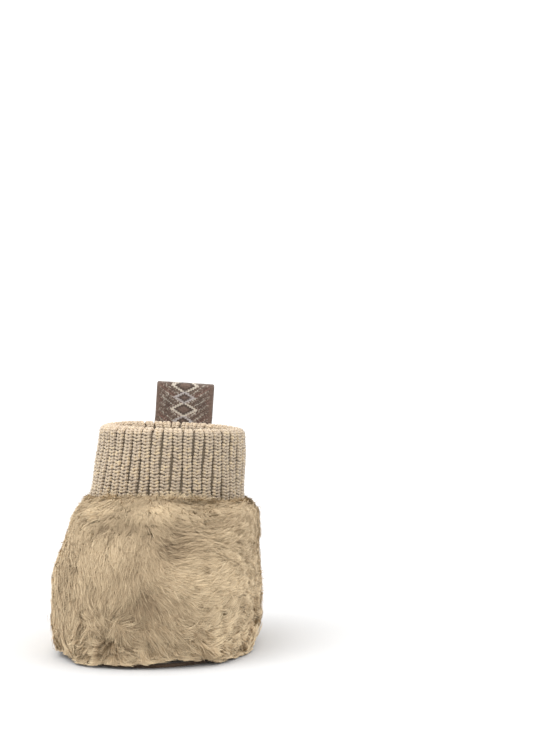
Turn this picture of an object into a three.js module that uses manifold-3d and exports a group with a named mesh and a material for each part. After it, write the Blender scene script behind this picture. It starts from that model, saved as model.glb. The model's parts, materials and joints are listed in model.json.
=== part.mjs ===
// Baby bootie for the right or the left foot: a faux-fur upper of three panels over a fleece lining,
// a rib-knit cuff folded double, a woven pull tab sewn into the heel of the ankle seam, a padded
// insole and a stitched suede outsole.
//
// Millimetres, +Z up, toe towards -Y, heel towards +Y. The origin is on the floor, under the middle
// of the bootie's length and width. Left and right are as seen from the toe. Angles run round the
// ankle from the toe (0) by +X, the right side, to the heel (180).
import * as THREE from "three";
import { LoftGeometry } from "three/addons/geometries/LoftGeometry.js";
import { mergeVertices } from "three/addons/utils/BufferGeometryUtils.js";
import Module from "manifold-3d";

const wasm = await Module();
wasm.setup();

// ---- Driving dimensions -------------------------------------------------------------------------

// Body, measured over the fur's pile.
const bodyLength = 120;
const bodyWidth = 78;
const outlinePower = 2.35; // 2 is an ellipse, more is squarer
const heelNarrowing = 0.03; // share by which the heel is narrower than the ball, and the toe wider
const bulgeHeight = 17; // where the body is widest
const ankleHeight = 60; // floor to the seam between fur and cuff
const sidePower = 2.7; // how square the shoulders are at the sides and the heel
const toePower = 1.9; // and over the toe
const hemTuck = 7; // how far the pile curls under to the hem
const furThickness = 6.5; // pile and backing
const liningThickness = 2;

// Cuff, outside sizes at the ankle seam.
const cuffWidth = 64;
const cuffDepth = 52;
const cuffSetback = 8; // heel's pile to the back of the cuff
const cuffHeight = 27; // ankle seam to the folded rim
const cuffTaper = 1; // how far the cuff leans in between the seam and the rim
const knitThickness = 2.5;
const knitGap = 0.8; // between the two layers of the fold

// Pull tab.
const tabWidth = 25;
const tabRise = 19; // above the cuff's rim
const ribbonThickness = 0.9;
const loopGap = 1.2;
const tabHem = 4; // where the two ends of the ribbon are sewn together

// Sole and insole.
const soleInset = 4; // pile's outline to the outsole's edge
const soleThickness = 1.6;
const foamThickness = 3.5;
const stitchInset = 2.5; // outsole's edge to its line of stitches
const grooveDepth = 1.1;

// Care label.
const labelWidth = 14;
const labelHeight = 15;
const labelThickness = 0.5;
const labelStandOff = 1.6; // from the lining's edge

// Sewing.
const threadRadius = 0.4;
const soleThreadRadius = 0.35;
const overlockRadius = 0.6;
const clearance = 0.3; // between pieces that touch
const seamClearance = 0.5; // between a seam's thread and the panels beside it
const seamAngle = 75; // degrees from the toe to the seams at the sides of the vamp

// Facets.
const meridianSteps = 11;
const hemSteps = 3; // of the meridian's steps, those below the bulge
const ringSteps = 72;
const threadSides = 6;

// ---- Sizes that follow from them ----------------------------------------------------------------

const ankleY = bodyLength / 2 - cuffSetback - cuffDepth / 2;
const rimHeight = ankleHeight + cuffHeight;
const cuffThickness = 2 * knitThickness + knitGap;
const seamGap = 2 * (threadRadius + seamClearance);
const radians = THREE.MathUtils.degToRad;

// A layer of the upper is a surface between the hem, the bulge and the ankle hole. The fur's hole
// goes round the cuff, and the lining's is inside it.
const furOuter = {
  inset: 0,
  hemInset: hemTuck,
  hemHeight: soleThickness + clearance,
  holeInset: -clearance,
  topHeight: ankleHeight,
};
const furInner = {
  inset: furThickness,
  hemInset: hemTuck,
  hemHeight: furOuter.hemHeight + furThickness,
  holeInset: -clearance,
  topHeight: ankleHeight - furThickness,
};
const liningOuter = {
  inset: furThickness + clearance,
  hemInset: hemTuck + clearance,
  hemHeight: furInner.hemHeight + clearance,
  holeInset: cuffThickness + clearance,
  topHeight: furInner.topHeight - clearance,
};
const liningInner = {
  inset: liningOuter.inset + liningThickness,
  hemInset: liningOuter.hemInset + liningThickness,
  hemHeight: liningOuter.hemHeight,
  holeInset: liningOuter.holeInset + liningThickness,
  topHeight: liningOuter.topHeight - liningThickness,
};
const overlockHeight = furInner.topHeight + clearance + overlockRadius;
const cuffTail = overlockHeight + overlockRadius + clearance; // the cuff's sewn edges

// ---- Shapes that the pieces share ---------------------------------------------------------------

const signedPower = (value, power) => Math.sign(value) * Math.abs(value) ** power;

// The foot's outline at an angle: a superellipse, a little broader at the toe than at the heel.
function outlinePoint(angle, inset) {
  const power = 2 / outlinePower;
  const broad = 1 + heelNarrowing * Math.cos(angle);
  return new THREE.Vector2(
    (bodyWidth / 2 - inset) * signedPower(Math.sin(angle), power) * broad,
    -(bodyLength / 2 - inset) * signedPower(Math.cos(angle), power),
  );
}

// The cuff's oval at an angle.
function anklePoint(angle, inset) {
  return new THREE.Vector2(
    (cuffWidth / 2 - inset) * Math.sin(angle),
    ankleY - (cuffDepth / 2 - inset) * Math.cos(angle),
  );
}

// A point of a layer: share 0 is the hem, 1 the ankle hole. Below the bulge the meridian is a
// quarter of an ellipse that curls under, and above it a quarter of a superellipse.
function upperPoint(angle, share, layer) {
  const hemShare = hemSteps / meridianSteps;
  const bulge = outlinePoint(angle, layer.inset);
  if (share < hemShare) {
    const turn = (1 - share / hemShare) * (Math.PI / 2);
    const hem = outlinePoint(angle, layer.hemInset);
    const drop = bulgeHeight - layer.hemHeight;
    const flat = bulge.lerp(hem, 1 - Math.cos(turn));
    return new THREE.Vector3(flat.x, flat.y, bulgeHeight - drop * Math.sin(turn));
  }
  const turn = ((share - hemShare) / (1 - hemShare)) * (Math.PI / 2);
  const toeward = Math.max(0, Math.cos(angle)) ** 2;
  const power = 2 / THREE.MathUtils.lerp(sidePower, toePower, toeward);
  const hole = anklePoint(angle, layer.holeInset);
  const flat = hole.lerp(bulge, Math.max(0, Math.cos(turn)) ** power);
  const rise = (layer.topHeight - bulgeHeight) * Math.sin(turn) ** power;
  return new THREE.Vector3(flat.x, flat.y, bulgeHeight + rise);
}

// How far from a seam, as an angle to the side that the sign gives, both layers of a panel are half
// a seam's gap away from it.
function besideSeam(seam, side, share, layers) {
  const halves = layers.map((layer) => {
    const middle = upperPoint(seam, share, layer);
    const above = upperPoint(seam, Math.min(1, share + 0.01), layer);
    const below = upperPoint(seam, Math.max(0, share - 0.01), layer);
    const direction = above.sub(below).normalize();
    let near = 0;
    let far = radians(12);
    for (let step = 0; step < 30; step++) {
      const half = (near + far) / 2;
      const across = upperPoint(seam + side * half, share, layer).sub(middle).cross(direction);
      if (across.length() < seamGap / 2) near = half;
      else far = half;
    }
    return near;
  });
  return Math.max(...halves);
}

// ---- Builders -----------------------------------------------------------------------------------

// A geometry with its shared vertices merged and its empty faces dropped, which is what a solid
// needs.
function merged(geometry) {
  const plain = new THREE.BufferGeometry().copy(geometry);
  plain.deleteAttribute("normal");
  plain.deleteAttribute("uv");
  const welded = mergeVertices(plain, 1e-4);
  const corners = welded.index.array;
  const kept = [];
  for (let k = 0; k < corners.length; k += 3) {
    const [a, b, c] = corners.subarray(k, k + 3);
    if (a !== b && b !== c && c !== a) kept.push(a, b, c);
  }
  welded.setIndex(kept);
  return welded;
}

function piece(name, geometry, color, roughness) {
  const solid = merged(geometry);
  solid.computeVertexNormals();
  const material = new THREE.MeshStandardMaterial({ color, roughness, metalness: 0 });
  const mesh = new THREE.Mesh(solid, material);
  mesh.name = name;
  return mesh;
}

// A panel of the upper between two seams: a thick sheet whose section runs up its inner layer and
// down its outer one. At each seam the outer layer is laid on the inner one, which closes the edge.
function panelGeometry(seamA, seamB, steps, outer, inner) {
  const shares = Array.from({ length: meridianSteps + 1 }, (_, k) => k / meridianSteps);
  const edges = shares.map((share) => [
    seamA + besideSeam(seamA, 1, share, [outer, inner]),
    seamB - besideSeam(seamB, -1, share, [outer, inner]),
  ]);
  const sections = [];
  for (let step = 0; step <= steps; step++) {
    const along = (layer) =>
      shares.map((share, k) => {
        const angle = THREE.MathUtils.lerp(edges[k][0], edges[k][1], step / steps);
        return upperPoint(angle, share, layer);
      });
    sections.push([...along(inner), ...along(outer).reverse()]);
  }
  const closed = (section) =>
    section.map((point, k) => (2 * k < section.length ? point : section.at(-1 - k)));
  return new LoftGeometry([closed(sections[0]), ...sections, closed(sections.at(-1))]);
}

// A closed ring whose section, a list of [inset, height] seen with the inside on the right and
// listed clockwise, is carried round an outline.
function ringGeometry(outline, section) {
  const rings = [];
  for (let step = 0; step <= ringSteps; step++) {
    const angle = ((step % ringSteps) / ringSteps) * 2 * Math.PI;
    const points = section.map(([inset, height]) => {
      const flat = outline(angle, inset);
      return new THREE.Vector3(flat.x, flat.y, height);
    });
    rings.push(points.reverse());
  }
  return new LoftGeometry(rings);
}

// A circle as a ring's section.
function circleSection(inset, height, radius, sides) {
  return Array.from({ length: sides }, (_, k) => {
    const turn = (k / sides) * 2 * Math.PI;
    return [inset - radius * Math.cos(turn), height + radius * Math.sin(turn)];
  });
}

// A flat plate with the foot's outline, its underside at the given height.
function plateGeometry(inset, height, thickness) {
  const corners = Array.from({ length: ringSteps }, (_, k) =>
    outlinePoint((k / ringSteps) * 2 * Math.PI, inset),
  );
  const shape = new THREE.Shape(corners);
  const settings = { depth: thickness, bevelEnabled: false };
  return new THREE.ExtrudeGeometry(shape, settings).translate(0, 0, height);
}

// A straight extrusion across the bootie, from a shape drawn with y to the right and z upwards.
function acrossGeometry(shape, width) {
  const settings = { depth: width, bevelEnabled: false, curveSegments: 6 };
  const across = new THREE.Matrix4().makeBasis(
    new THREE.Vector3(0, 1, 0),
    new THREE.Vector3(0, 0, 1),
    new THREE.Vector3(1, 0, 0),
  );
  return new THREE.ExtrudeGeometry(shape, settings).translate(0, 0, -width / 2).applyMatrix4(across);
}

// The corners of a circle, as a flat polygon.
function circlePoints(radius, sides) {
  return Array.from({ length: sides }, (_, k) => {
    const turn = (k / sides) * 2 * Math.PI;
    return new THREE.Vector2(radius * Math.cos(turn), radius * Math.sin(turn));
  });
}

// A thread along a seam of the upper, at the depth of the fabric's backing, from just above the hem
// to just below the cuff. It has a section at each row of the panels, so that it bends where the gap
// between them does.
function seamThreadGeometry(seam, outer, inner) {
  const depth = 0.75;
  const place = (row, layerDepth) => {
    const share = row / meridianSteps;
    return upperPoint(seam, share, outer).lerp(upperPoint(seam, share, inner), layerDepth);
  };
  const sections = [];
  for (let row = 1; row < meridianSteps - 1; row++) {
    const middle = place(row, depth);
    const along = place(row + 1, depth).sub(place(row - 1, depth)).normalize();
    const across = place(row, 0).sub(place(row, 1)).cross(along).normalize();
    const outwards = along.clone().cross(across);
    sections.push(
      circlePoints(threadRadius, threadSides).map(({ x, y }) =>
        middle.clone().addScaledVector(across, x).addScaledVector(outwards, y),
      ),
    );
  }
  return new LoftGeometry(sections, { capStart: true, capEnd: true });
}

function solidOf(geometry) {
  const closed = merged(geometry);
  const vertProperties = closed.attributes.position.array;
  const triVerts = new Uint32Array(closed.index.array);
  return new wasm.Manifold(new wasm.Mesh({ numProp: 3, vertProperties, triVerts }));
}

// One geometry with another cut out of it.
function cut(geometry, tool) {
  const mesh = solidOf(geometry).subtract(solidOf(tool)).getMesh();
  const made = new THREE.BufferGeometry();
  made.setAttribute("position", new THREE.BufferAttribute(mesh.vertProperties, 3));
  made.setIndex(new THREE.BufferAttribute(mesh.triVerts, 1));
  return made;
}

// ---- Colours ------------------------------------------------------------------------------------

const fur = 0xbfa27a;
const knit = 0xc3ab87;
const fleece = 0xd8c8ab;
const suede = 0x6b4f3e;
const foam = 0xe6dfd0;
const ribbon = 0x8a6f62;
const thread = 0xa98d68;
const satin = 0xece7dc;

// ---- Pieces -------------------------------------------------------------------------------------

const bootie = new THREE.Group();
bootie.name = "baby_bootie";

const seams = {
  left: -radians(seamAngle),
  right: radians(seamAngle),
  heel: Math.PI,
};

// The same three panels are cut twice, from faux fur and from fleece.
function addPanels(prefix, outer, inner, color, roughness) {
  const panels = [
    ["vamp", seams.left, seams.right, 20],
    ["quarter_left", -seams.heel, seams.left, 14],
    ["quarter_right", seams.right, seams.heel, 14],
  ];
  for (const [name, from, to, steps] of panels) {
    const geometry = panelGeometry(from, to, steps, outer, inner);
    bootie.add(piece(`${prefix}_${name}`, geometry, color, roughness));
  }
}

function addSeamThreads(prefix, outer, inner) {
  for (const [name, seam] of Object.entries(seams)) {
    const geometry = seamThreadGeometry(seam, outer, inner);
    bootie.add(piece(`${prefix}_seam_thread_${name}`, geometry, thread, 0.7));
  }
}

// Outsole: suede, with a groove that its line of stitches sinks into.
function outsole() {
  const stitchLine = soleInset + stitchInset;
  const half = soleThreadRadius + clearance;
  const below = -1;
  const groove = ringGeometry(outlinePoint, [
    [stitchLine - half, below],
    [stitchLine - half, grooveDepth],
    [stitchLine + half, grooveDepth],
    [stitchLine + half, below],
  ]);
  return cut(plateGeometry(soleInset, 0, soleThickness), groove);
}

function soleThread() {
  const height = grooveDepth - clearance - soleThreadRadius;
  return ringGeometry(
    outlinePoint,
    circleSection(soleInset + stitchInset, height, soleThreadRadius, threadSides),
  );
}

// Insole: foam on the outsole, and a fleece cover that the lining stands on.
function insoleFoam() {
  return plateGeometry(hemTuck + clearance, soleThickness + clearance, foamThickness);
}

function insoleCover() {
  const base = soleThickness + foamThickness + 2 * clearance;
  return plateGeometry(hemTuck + clearance, base, furInner.hemHeight - base);
}

// Cuff: a knitted tube folded over at the rim, its two layers open at the bottom.
function cuff() {
  const foldHeight = rimHeight - cuffThickness / 2;
  const leans = [
    [cuffTail, 0],
    [ankleHeight, 0],
    [ankleHeight + cuffHeight / 3, 0.5],
    [foldHeight, 1],
  ];
  const wall = (depth) => leans.map(([height, lean]) => [lean * cuffTaper + depth, height]);
  const fold = (radius, steps) =>
    Array.from({ length: steps - 1 }, (_, k) => {
      const turn = ((k + 1) / steps) * Math.PI;
      const inset = cuffTaper + cuffThickness / 2 - radius * Math.cos(turn);
      return [inset, foldHeight + radius * Math.sin(turn)];
    });
  return ringGeometry(anklePoint, [
    ...wall(0),
    ...fold(cuffThickness / 2, 6),
    ...wall(cuffThickness).reverse(),
    ...wall(cuffThickness - knitThickness),
    ...fold(knitGap / 2, 2).reverse(),
    ...wall(knitThickness).reverse(),
  ]);
}

// Thread over the raw edges of cuff and lining, under the cuff's sewn edges.
function ankleThread() {
  const section = circleSection(cuffThickness / 2, overlockHeight, overlockRadius, threadSides);
  return ringGeometry(anklePoint, section);
}

// Pull tab: a ribbon folded into a flat loop, hinged on the thread that sews its ends in.
const tabThickness = 2 * ribbonThickness + loopGap;
const hingeY = ankleY + cuffDepth / 2 + clearance + tabThickness / 2;
const hingeHeight = ankleHeight + 2 * clearance + threadRadius;

function tab() {
  const low = hingeHeight + threadRadius + clearance;
  const top = rimHeight + tabRise - tabThickness / 2;
  const half = tabThickness / 2;
  const outside = new THREE.Shape();
  outside.moveTo(hingeY - half, low);
  outside.lineTo(hingeY + half, low);
  outside.lineTo(hingeY + half, top);
  outside.absarc(hingeY, top, half, 0, Math.PI, false);
  const inside = new THREE.Path();
  inside.moveTo(hingeY - loopGap / 2, low + tabHem);
  inside.lineTo(hingeY - loopGap / 2, top);
  inside.absarc(hingeY, top, loopGap / 2, Math.PI, 0, true);
  inside.lineTo(hingeY + loopGap / 2, low + tabHem);
  outside.holes.push(inside);
  return acrossGeometry(outside, tabWidth);
}

function tabThread() {
  const section = new THREE.Shape(circlePoints(threadRadius, 2 * threadSides));
  return acrossGeometry(section, tabWidth).translate(0, hingeY, hingeHeight);
}

// Care label: a small satin flag that hangs from the ankle seam inside the heel.
function careLabel() {
  const seam = anklePoint(Math.PI, liningInner.holeInset + labelStandOff);
  const top = overlockHeight - overlockRadius - clearance;
  const label = new THREE.BoxGeometry(labelWidth, labelThickness, labelHeight);
  return label.translate(0, seam.y, top - labelHeight / 2);
}

addPanels("fur", furOuter, furInner, fur, 0.9);
addPanels("lining", liningOuter, liningInner, fleece, 0.95);
addSeamThreads("fur", furOuter, furInner);
addSeamThreads("lining", liningOuter, liningInner);
bootie.add(piece("outsole", outsole(), suede, 0.9));
bootie.add(piece("outsole_stitching", soleThread(), thread, 0.7));
bootie.add(piece("insole_foam", insoleFoam(), foam, 0.95));
bootie.add(piece("insole_cover", insoleCover(), fleece, 0.95));
bootie.add(piece("rib_cuff", cuff(), knit, 0.9));
bootie.add(piece("ankle_seam_thread", ankleThread(), thread, 0.7));
bootie.add(piece("pull_tab", tab(), ribbon, 0.75));
bootie.add(piece("pull_tab_thread", tabThread(), thread, 0.7));
bootie.add(piece("care_label", careLabel(), satin, 0.5));

export default bootie;
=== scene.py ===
"""A plush baby bootie: fur in locks, a stitched rib-knit cuff, a jacquard tab and a suede sole.
Lengths are in millimetres and are made metres where a mesh or a frame call takes them."""

import json
import math

import bpy
import numpy as np
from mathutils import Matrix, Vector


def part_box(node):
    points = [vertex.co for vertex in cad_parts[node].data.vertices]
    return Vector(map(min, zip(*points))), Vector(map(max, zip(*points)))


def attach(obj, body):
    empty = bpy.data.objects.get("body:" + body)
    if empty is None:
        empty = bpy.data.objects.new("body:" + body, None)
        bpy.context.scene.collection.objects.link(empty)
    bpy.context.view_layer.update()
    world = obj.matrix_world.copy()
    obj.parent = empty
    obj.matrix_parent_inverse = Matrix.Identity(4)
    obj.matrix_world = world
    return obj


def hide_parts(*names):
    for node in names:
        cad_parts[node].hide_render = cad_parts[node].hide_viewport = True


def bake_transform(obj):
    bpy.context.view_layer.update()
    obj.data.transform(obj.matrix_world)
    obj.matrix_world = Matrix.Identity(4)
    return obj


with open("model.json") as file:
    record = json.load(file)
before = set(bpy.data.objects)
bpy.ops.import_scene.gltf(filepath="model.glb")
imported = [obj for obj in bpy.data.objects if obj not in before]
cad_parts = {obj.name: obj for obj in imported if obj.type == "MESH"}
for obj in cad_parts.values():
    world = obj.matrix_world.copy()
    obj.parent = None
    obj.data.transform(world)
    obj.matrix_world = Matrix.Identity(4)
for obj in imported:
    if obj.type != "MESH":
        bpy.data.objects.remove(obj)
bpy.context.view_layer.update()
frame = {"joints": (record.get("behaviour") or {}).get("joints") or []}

bl_info = {
    "name": "Baby bootie",
    "version": (1, 0, 0),
    "blender": (4, 5, 0),
    "location": "3D View > Sidebar > Bootie",
    "description": "Builds a plush baby bootie round its CAD frame",
    "category": "Add Mesh",
}

MM = 0.001
TURN = 2 * math.pi
BODY = "bootie"


# ---- Sizes from the frame, in millimetres --------------------------------------------------------


def span(node):
    """A node's lowest and highest corner, in millimetres."""
    low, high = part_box(node)
    return np.array(low) / MM, np.array(high) / MM


OUTLINE_POWER = 2.35  # of the superellipse of the foot's outline
HEEL_NARROWING = 0.03
BULGE_HEIGHT = 17.0  # where the upper is widest
SIDE_POWER = 2.7  # of the superellipse over the bulge, at the sides and at the toe
TOE_POWER = 1.9
HEM_TUCK = 7.0  # how far the hem curls in under the foot
FUR_DEPTH = 6.5
LINING_DEPTH = 2.0
CLEARANCE = 0.3  # between neighbouring layers
SEAM_ANGLE = math.radians(75)  # of the side seams, from the middle of the toe
HEM_SHARE = 3 / 11  # of the way from the hem to the ankle, below the bulge

VAMP_LOW, VAMP_HIGH = span("fur_vamp")
QUARTER_HIGH = span("fur_quarter_right")[1]
CUFF_LOW, CUFF_HIGH = span("rib_cuff")
SOLE_LOW, SOLE_HIGH = span("outsole")
TAB_LOW, TAB_HIGH = span("pull_tab")

HALF_WIDTH = QUARTER_HIGH[0]
HALF_LENGTH = QUARTER_HIGH[1]
ANKLE_HEIGHT = VAMP_HIGH[2]
HEM_HEIGHT = VAMP_LOW[2]
CUFF_HALF_WIDTH = CUFF_HIGH[0]
CUFF_HALF_DEPTH = (CUFF_HIGH[1] - CUFF_LOW[1]) / 2
ANKLE_Y = (CUFF_HIGH[1] + CUFF_LOW[1]) / 2
RIM_HEIGHT = CUFF_HIGH[2]
CUFF_WALL = 5.8  # of both layers of the knit
CUFF_TAPER = 1.0  # how far the cuff narrows as it rises

# Layers of the upper: inset of the bulge, inset of the hem, height of the hem, inset of the ankle
# hole and height of its edge.
FUR_OUTER = np.array([0.0, HEM_TUCK, HEM_HEIGHT, -CLEARANCE, ANKLE_HEIGHT])
FUR_INNER = np.array(
    [FUR_DEPTH, HEM_TUCK, HEM_HEIGHT + FUR_DEPTH, -CLEARANCE, ANKLE_HEIGHT - FUR_DEPTH]
)
LINING_OUTER = FUR_INNER + CLEARANCE * np.array([1, 1, 1, 0, -1])
LINING_OUTER[3] = CUFF_WALL + CLEARANCE
LINING_INNER = LINING_OUTER + LINING_DEPTH * np.array([1, 1, 0, 1, -1])

JOINT = frame["joints"][0]
HINGE_Y = JOINT["pos_m"][1] / MM
HINGE_Z = JOINT["pos_m"][2] / MM


# ---- Surfaces of the bootie, worked out on whole arrays ------------------------------------------


def signed_power(value, power):
    """The sign of a value times its size raised to a power."""
    return np.sign(value) * np.abs(value) ** power


def outline(angle, inset):
    """The foot's outline: a superellipse, a little broader at the toe than at the heel."""
    power = 2 / OUTLINE_POWER
    broad = 1 + HEEL_NARROWING * np.cos(angle)
    x = (HALF_WIDTH - inset) * signed_power(np.sin(angle), power) * broad
    y = -(HALF_LENGTH - inset) * signed_power(np.cos(angle), power)
    return x, y


def oval(angle, inset):
    """The cuff's oval: an ellipse round the ankle's axis."""
    x = (CUFF_HALF_WIDTH - inset) * np.sin(angle)
    y = ANKLE_Y - (CUFF_HALF_DEPTH - inset) * np.cos(angle)
    return x, y


def upper(angle, share, outer, inner, depth):
    """A point of the upper. Share 0 is the hem and 1 the ankle hole, and depth 0 is the outer layer
    and 1 the inner one. Below the bulge the meridian is a quarter of an ellipse that curls under
    the foot, and above it a quarter of a superellipse that runs to the oval of the ankle hole."""
    angle, share, depth = np.broadcast_arrays(angle, share, depth)
    layer = [a + (b - a) * depth for a, b in zip(outer, inner)]
    inset, hem_inset, hem_height, hole_inset, top = layer
    bulge_x, bulge_y = outline(angle, inset)
    hem_x, hem_y = outline(angle, hem_inset)
    hole_x, hole_y = oval(angle, hole_inset)
    low = (1 - np.clip(share, 0, HEM_SHARE) / HEM_SHARE) * (math.pi / 2)
    curl = 1 - np.cos(low)
    high = (np.clip(share, HEM_SHARE, 1) - HEM_SHARE) / (1 - HEM_SHARE) * (math.pi / 2)
    toeward = np.clip(np.cos(angle), 0, 1) ** 2
    power = 2 / (SIDE_POWER + (TOE_POWER - SIDE_POWER) * toeward)
    reach = np.clip(np.cos(high), 0, 1) ** power
    lower = share < HEM_SHARE
    x = np.where(lower, bulge_x + (hem_x - bulge_x) * curl, hole_x + (bulge_x - hole_x) * reach)
    y = np.where(lower, bulge_y + (hem_y - bulge_y) * curl, hole_y + (bulge_y - hole_y) * reach)
    z_low = BULGE_HEIGHT - (BULGE_HEIGHT - hem_height) * np.sin(low)
    z_high = BULGE_HEIGHT + (top - BULGE_HEIGHT) * np.sin(high) ** power
    return np.stack([x, y, np.where(lower, z_low, z_high)], axis=-1)


def fur_surface(angle, share, depth):
    """A point of the fur, its depth in millimetres under the tips of the pile."""
    return upper(angle, share, FUR_OUTER, FUR_INNER, np.asarray(depth) / FUR_DEPTH)


def unit(vectors):
    """Vectors with their lengths made 1."""
    return vectors / np.maximum(np.linalg.norm(vectors, axis=-1, keepdims=True), 1e-9)


def axes(points):
    """The x, y and z of points as three arrays."""
    return np.moveaxis(points, -1, 0)


def fade(value, start, reach):
    """A straight ramp from 0 at a start to 1 at the end of its reach: (v - start) / reach, held
    between 0 and 1. With a negative reach it rises backwards."""
    return np.clip((value - start) / reach, 0, 1)


def bell(value, middle, reach):
    """A bell curve, 1 at its middle: e to the power of -((v - middle) / reach)^2."""
    return np.exp(-(((value - middle) / reach) ** 2))


def soft_step(value, middle, reach):
    """A smooth step from 0 to 1 round a middle: 1 / (1 + e^(-(v - middle) / reach))."""
    return 1 / (1 + np.exp(-(value - middle) / reach))


def at_height(x, y, height):
    """Points from arrays of x and y, all at one height."""
    return np.stack([x, y, np.full_like(x, height)], axis=-1)


def ripple(x, y, z, size, seed):
    """Smooth noise from about -1 to 1: a sum of nine sine waves in random directions whose lengths
    are near the given size."""
    draw = np.random.default_rng(seed)
    total = 0
    for _ in range(9):
        wave = unit(draw.normal(size=3)) * (TURN / size) * draw.uniform(0.6, 1.5)
        total = total + np.sin(x * wave[0] + y * wave[1] + z * wave[2] + draw.uniform(0, TURN))
    return total / 4


# ---- Meshes --------------------------------------------------------------------------------------


def grid_faces(rows, columns, wrap_rows=False, wrap_columns=False):
    """Corner numbers of the quads of a grid of points, wrapped in either direction if asked."""
    i = np.arange(rows if wrap_rows else rows - 1)
    j = np.arange(columns if wrap_columns else columns - 1)
    i, j = np.meshgrid(i, j, indexing="ij")
    up, right = (i + 1) % rows, (j + 1) % columns
    corners = [i * columns + j, i * columns + right, up * columns + right, up * columns + j]
    return np.stack(corners, axis=-1).reshape(-1, 4)


def build_mesh(name, points, quads=None, tris=None, uv=None, uv_name="Weave"):
    """An object from arrays: points in millimetres, corner numbers of quads and triangles, and one
    map coordinate for each point."""
    quads = np.zeros((0, 4), int) if quads is None else np.asarray(quads)
    tris = np.zeros((0, 3), int) if tris is None else np.asarray(tris)
    corners = np.concatenate([quads.ravel(), tris.ravel()]).astype(np.int32)
    sizes = np.concatenate([np.full(len(quads), 4), np.full(len(tris), 3)]).astype(np.int32)
    mesh = bpy.data.meshes.new(name)
    mesh.vertices.add(len(points))
    mesh.vertices.foreach_set("co", (np.asarray(points) * MM).astype(np.float32).ravel())
    mesh.loops.add(len(corners))
    mesh.loops.foreach_set("vertex_index", corners)
    mesh.polygons.add(len(sizes))
    starts = np.concatenate([[0], np.cumsum(sizes)[:-1]]).astype(np.int32)
    mesh.polygons.foreach_set("loop_start", starts)
    if uv is not None:
        layer = mesh.uv_layers.new(name=uv_name)
        layer.data.foreach_set("uv", np.asarray(uv, np.float32)[corners].ravel())
    mesh.update(calc_edges=True)
    mesh.validate()
    mesh.shade_smooth()
    made = bpy.data.objects.new(name, mesh)
    bpy.context.scene.collection.objects.link(made)
    return made


def finish_piece(piece, material, body=BODY, nodes=()):
    """Gives a piece its material, the CAD nodes that it stands for and its body."""
    piece.data.materials.clear()
    piece.data.materials.append(material)
    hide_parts(*nodes)
    if body:
        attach(piece, body)
    return piece


def closed_sheet(name, outer, inner, wrap=False):
    """A thick sheet between two grids of points of the same shape, its four edges closed. With
    wrap, the first and the last row join instead."""
    rows, columns = outer.shape[:2]
    ring = np.concatenate([outer, inner[:, ::-1]], axis=1)
    quads = grid_faces(rows, 2 * columns, wrap, True)
    if not wrap:
        j = np.arange(columns - 1)
        mate = 2 * columns - 1 - j
        first = np.stack([j + 1, j, mate, mate - 1], axis=-1)
        last = np.stack([j, j + 1, mate - 1, mate], axis=-1) + (rows - 1) * 2 * columns
        quads = np.concatenate([quads, first, last])
    return build_mesh(name, ring.reshape(-1, 3), quads)


def map_sheet(sheet, u, v):
    """Give both faces of a closed sheet the map that its grid of points was worked out on."""
    uv = np.stack([u, v], axis=-1)
    uv = np.concatenate([uv, uv[:, ::-1]], axis=1).reshape(-1, 2)
    corners = np.zeros(len(sheet.data.loops), np.int32)
    sheet.data.loops.foreach_get("vertex_index", corners)
    layer = sheet.data.uv_layers.new(name="Weave")
    layer.data.foreach_set("uv", uv[corners].astype(np.float32).ravel())


def spindle_batch(start, middle, end, side, radius, sides=6):
    """Many short spindles of yarn at once: each follows the parabola through its start, middle and
    end, and swells from a point to its full radius and back. Returns points, quads, triangles and
    map coordinates that run along and round each spindle."""
    count = len(start)
    stations = np.array([0.0, 0.14, 0.5, 0.86, 1.0])
    swell = np.array([0.0, 0.78, 1.0, 0.78, 0.0])
    t = stations[None, :, None]
    line = (
        start[:, None] * (1 - t) * (1 - 2 * t)
        + middle[:, None] * 4 * t * (1 - t)
        + end[:, None] * t * (2 * t - 1)
    )
    along = unit(end - start)[:, None]
    side = unit(side)[:, None]
    out = unit(np.cross(along, side))
    turn = np.arange(sides) / sides * TURN
    body = line[:, 1:4, None] + radius[:, None, None, None] * swell[None, 1:4, None, None] * (
        np.cos(turn)[None, None, :, None] * side[:, :, None]
        + np.sin(turn)[None, None, :, None] * out[:, :, None]
    )
    points = np.concatenate([line[:, :1], body.reshape(count, -1, 3), line[:, 4:]], axis=1)
    size = points.shape[1]
    quads = grid_faces(3, sides, False, True) + 1
    j = np.arange(sides)
    low = np.stack([np.zeros(sides, int), (j + 1) % sides + 1, j + 1], axis=-1)
    top = 1 + 2 * sides
    high = np.stack([np.full(sides, size - 1), top + j, top + (j + 1) % sides], axis=-1)
    shift = (np.arange(count) * size)[:, None, None]
    v = np.concatenate([[0.0], np.repeat(stations[1:4], sides), [1.0]])
    u = np.concatenate([[0.5], np.tile(np.arange(sides) / sides, 3), [0.5]])
    uv = np.tile(np.stack([u, v], axis=-1), (count, 1))
    return (
        points.reshape(-1, 3),
        (quads[None] + shift).reshape(-1, 4),
        (np.concatenate([low, high])[None] + shift).reshape(-1, 3),
        uv,
    )


# ---- Stitches ------------------------------------------------------------------------------------

THREAD_RADIUS = 0.33
WHIP_PITCH = 2.1  # from one stitch of a seam to the next
WHIP_REACH = 1.1  # how far a stitch reaches past the middle of its seam
WHIP_CLIMB = 0.55  # half of how far it climbs along the seam
WHIP_RISE = 0.3  # how far it stands proud at its middle, and dives at its ends


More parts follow.
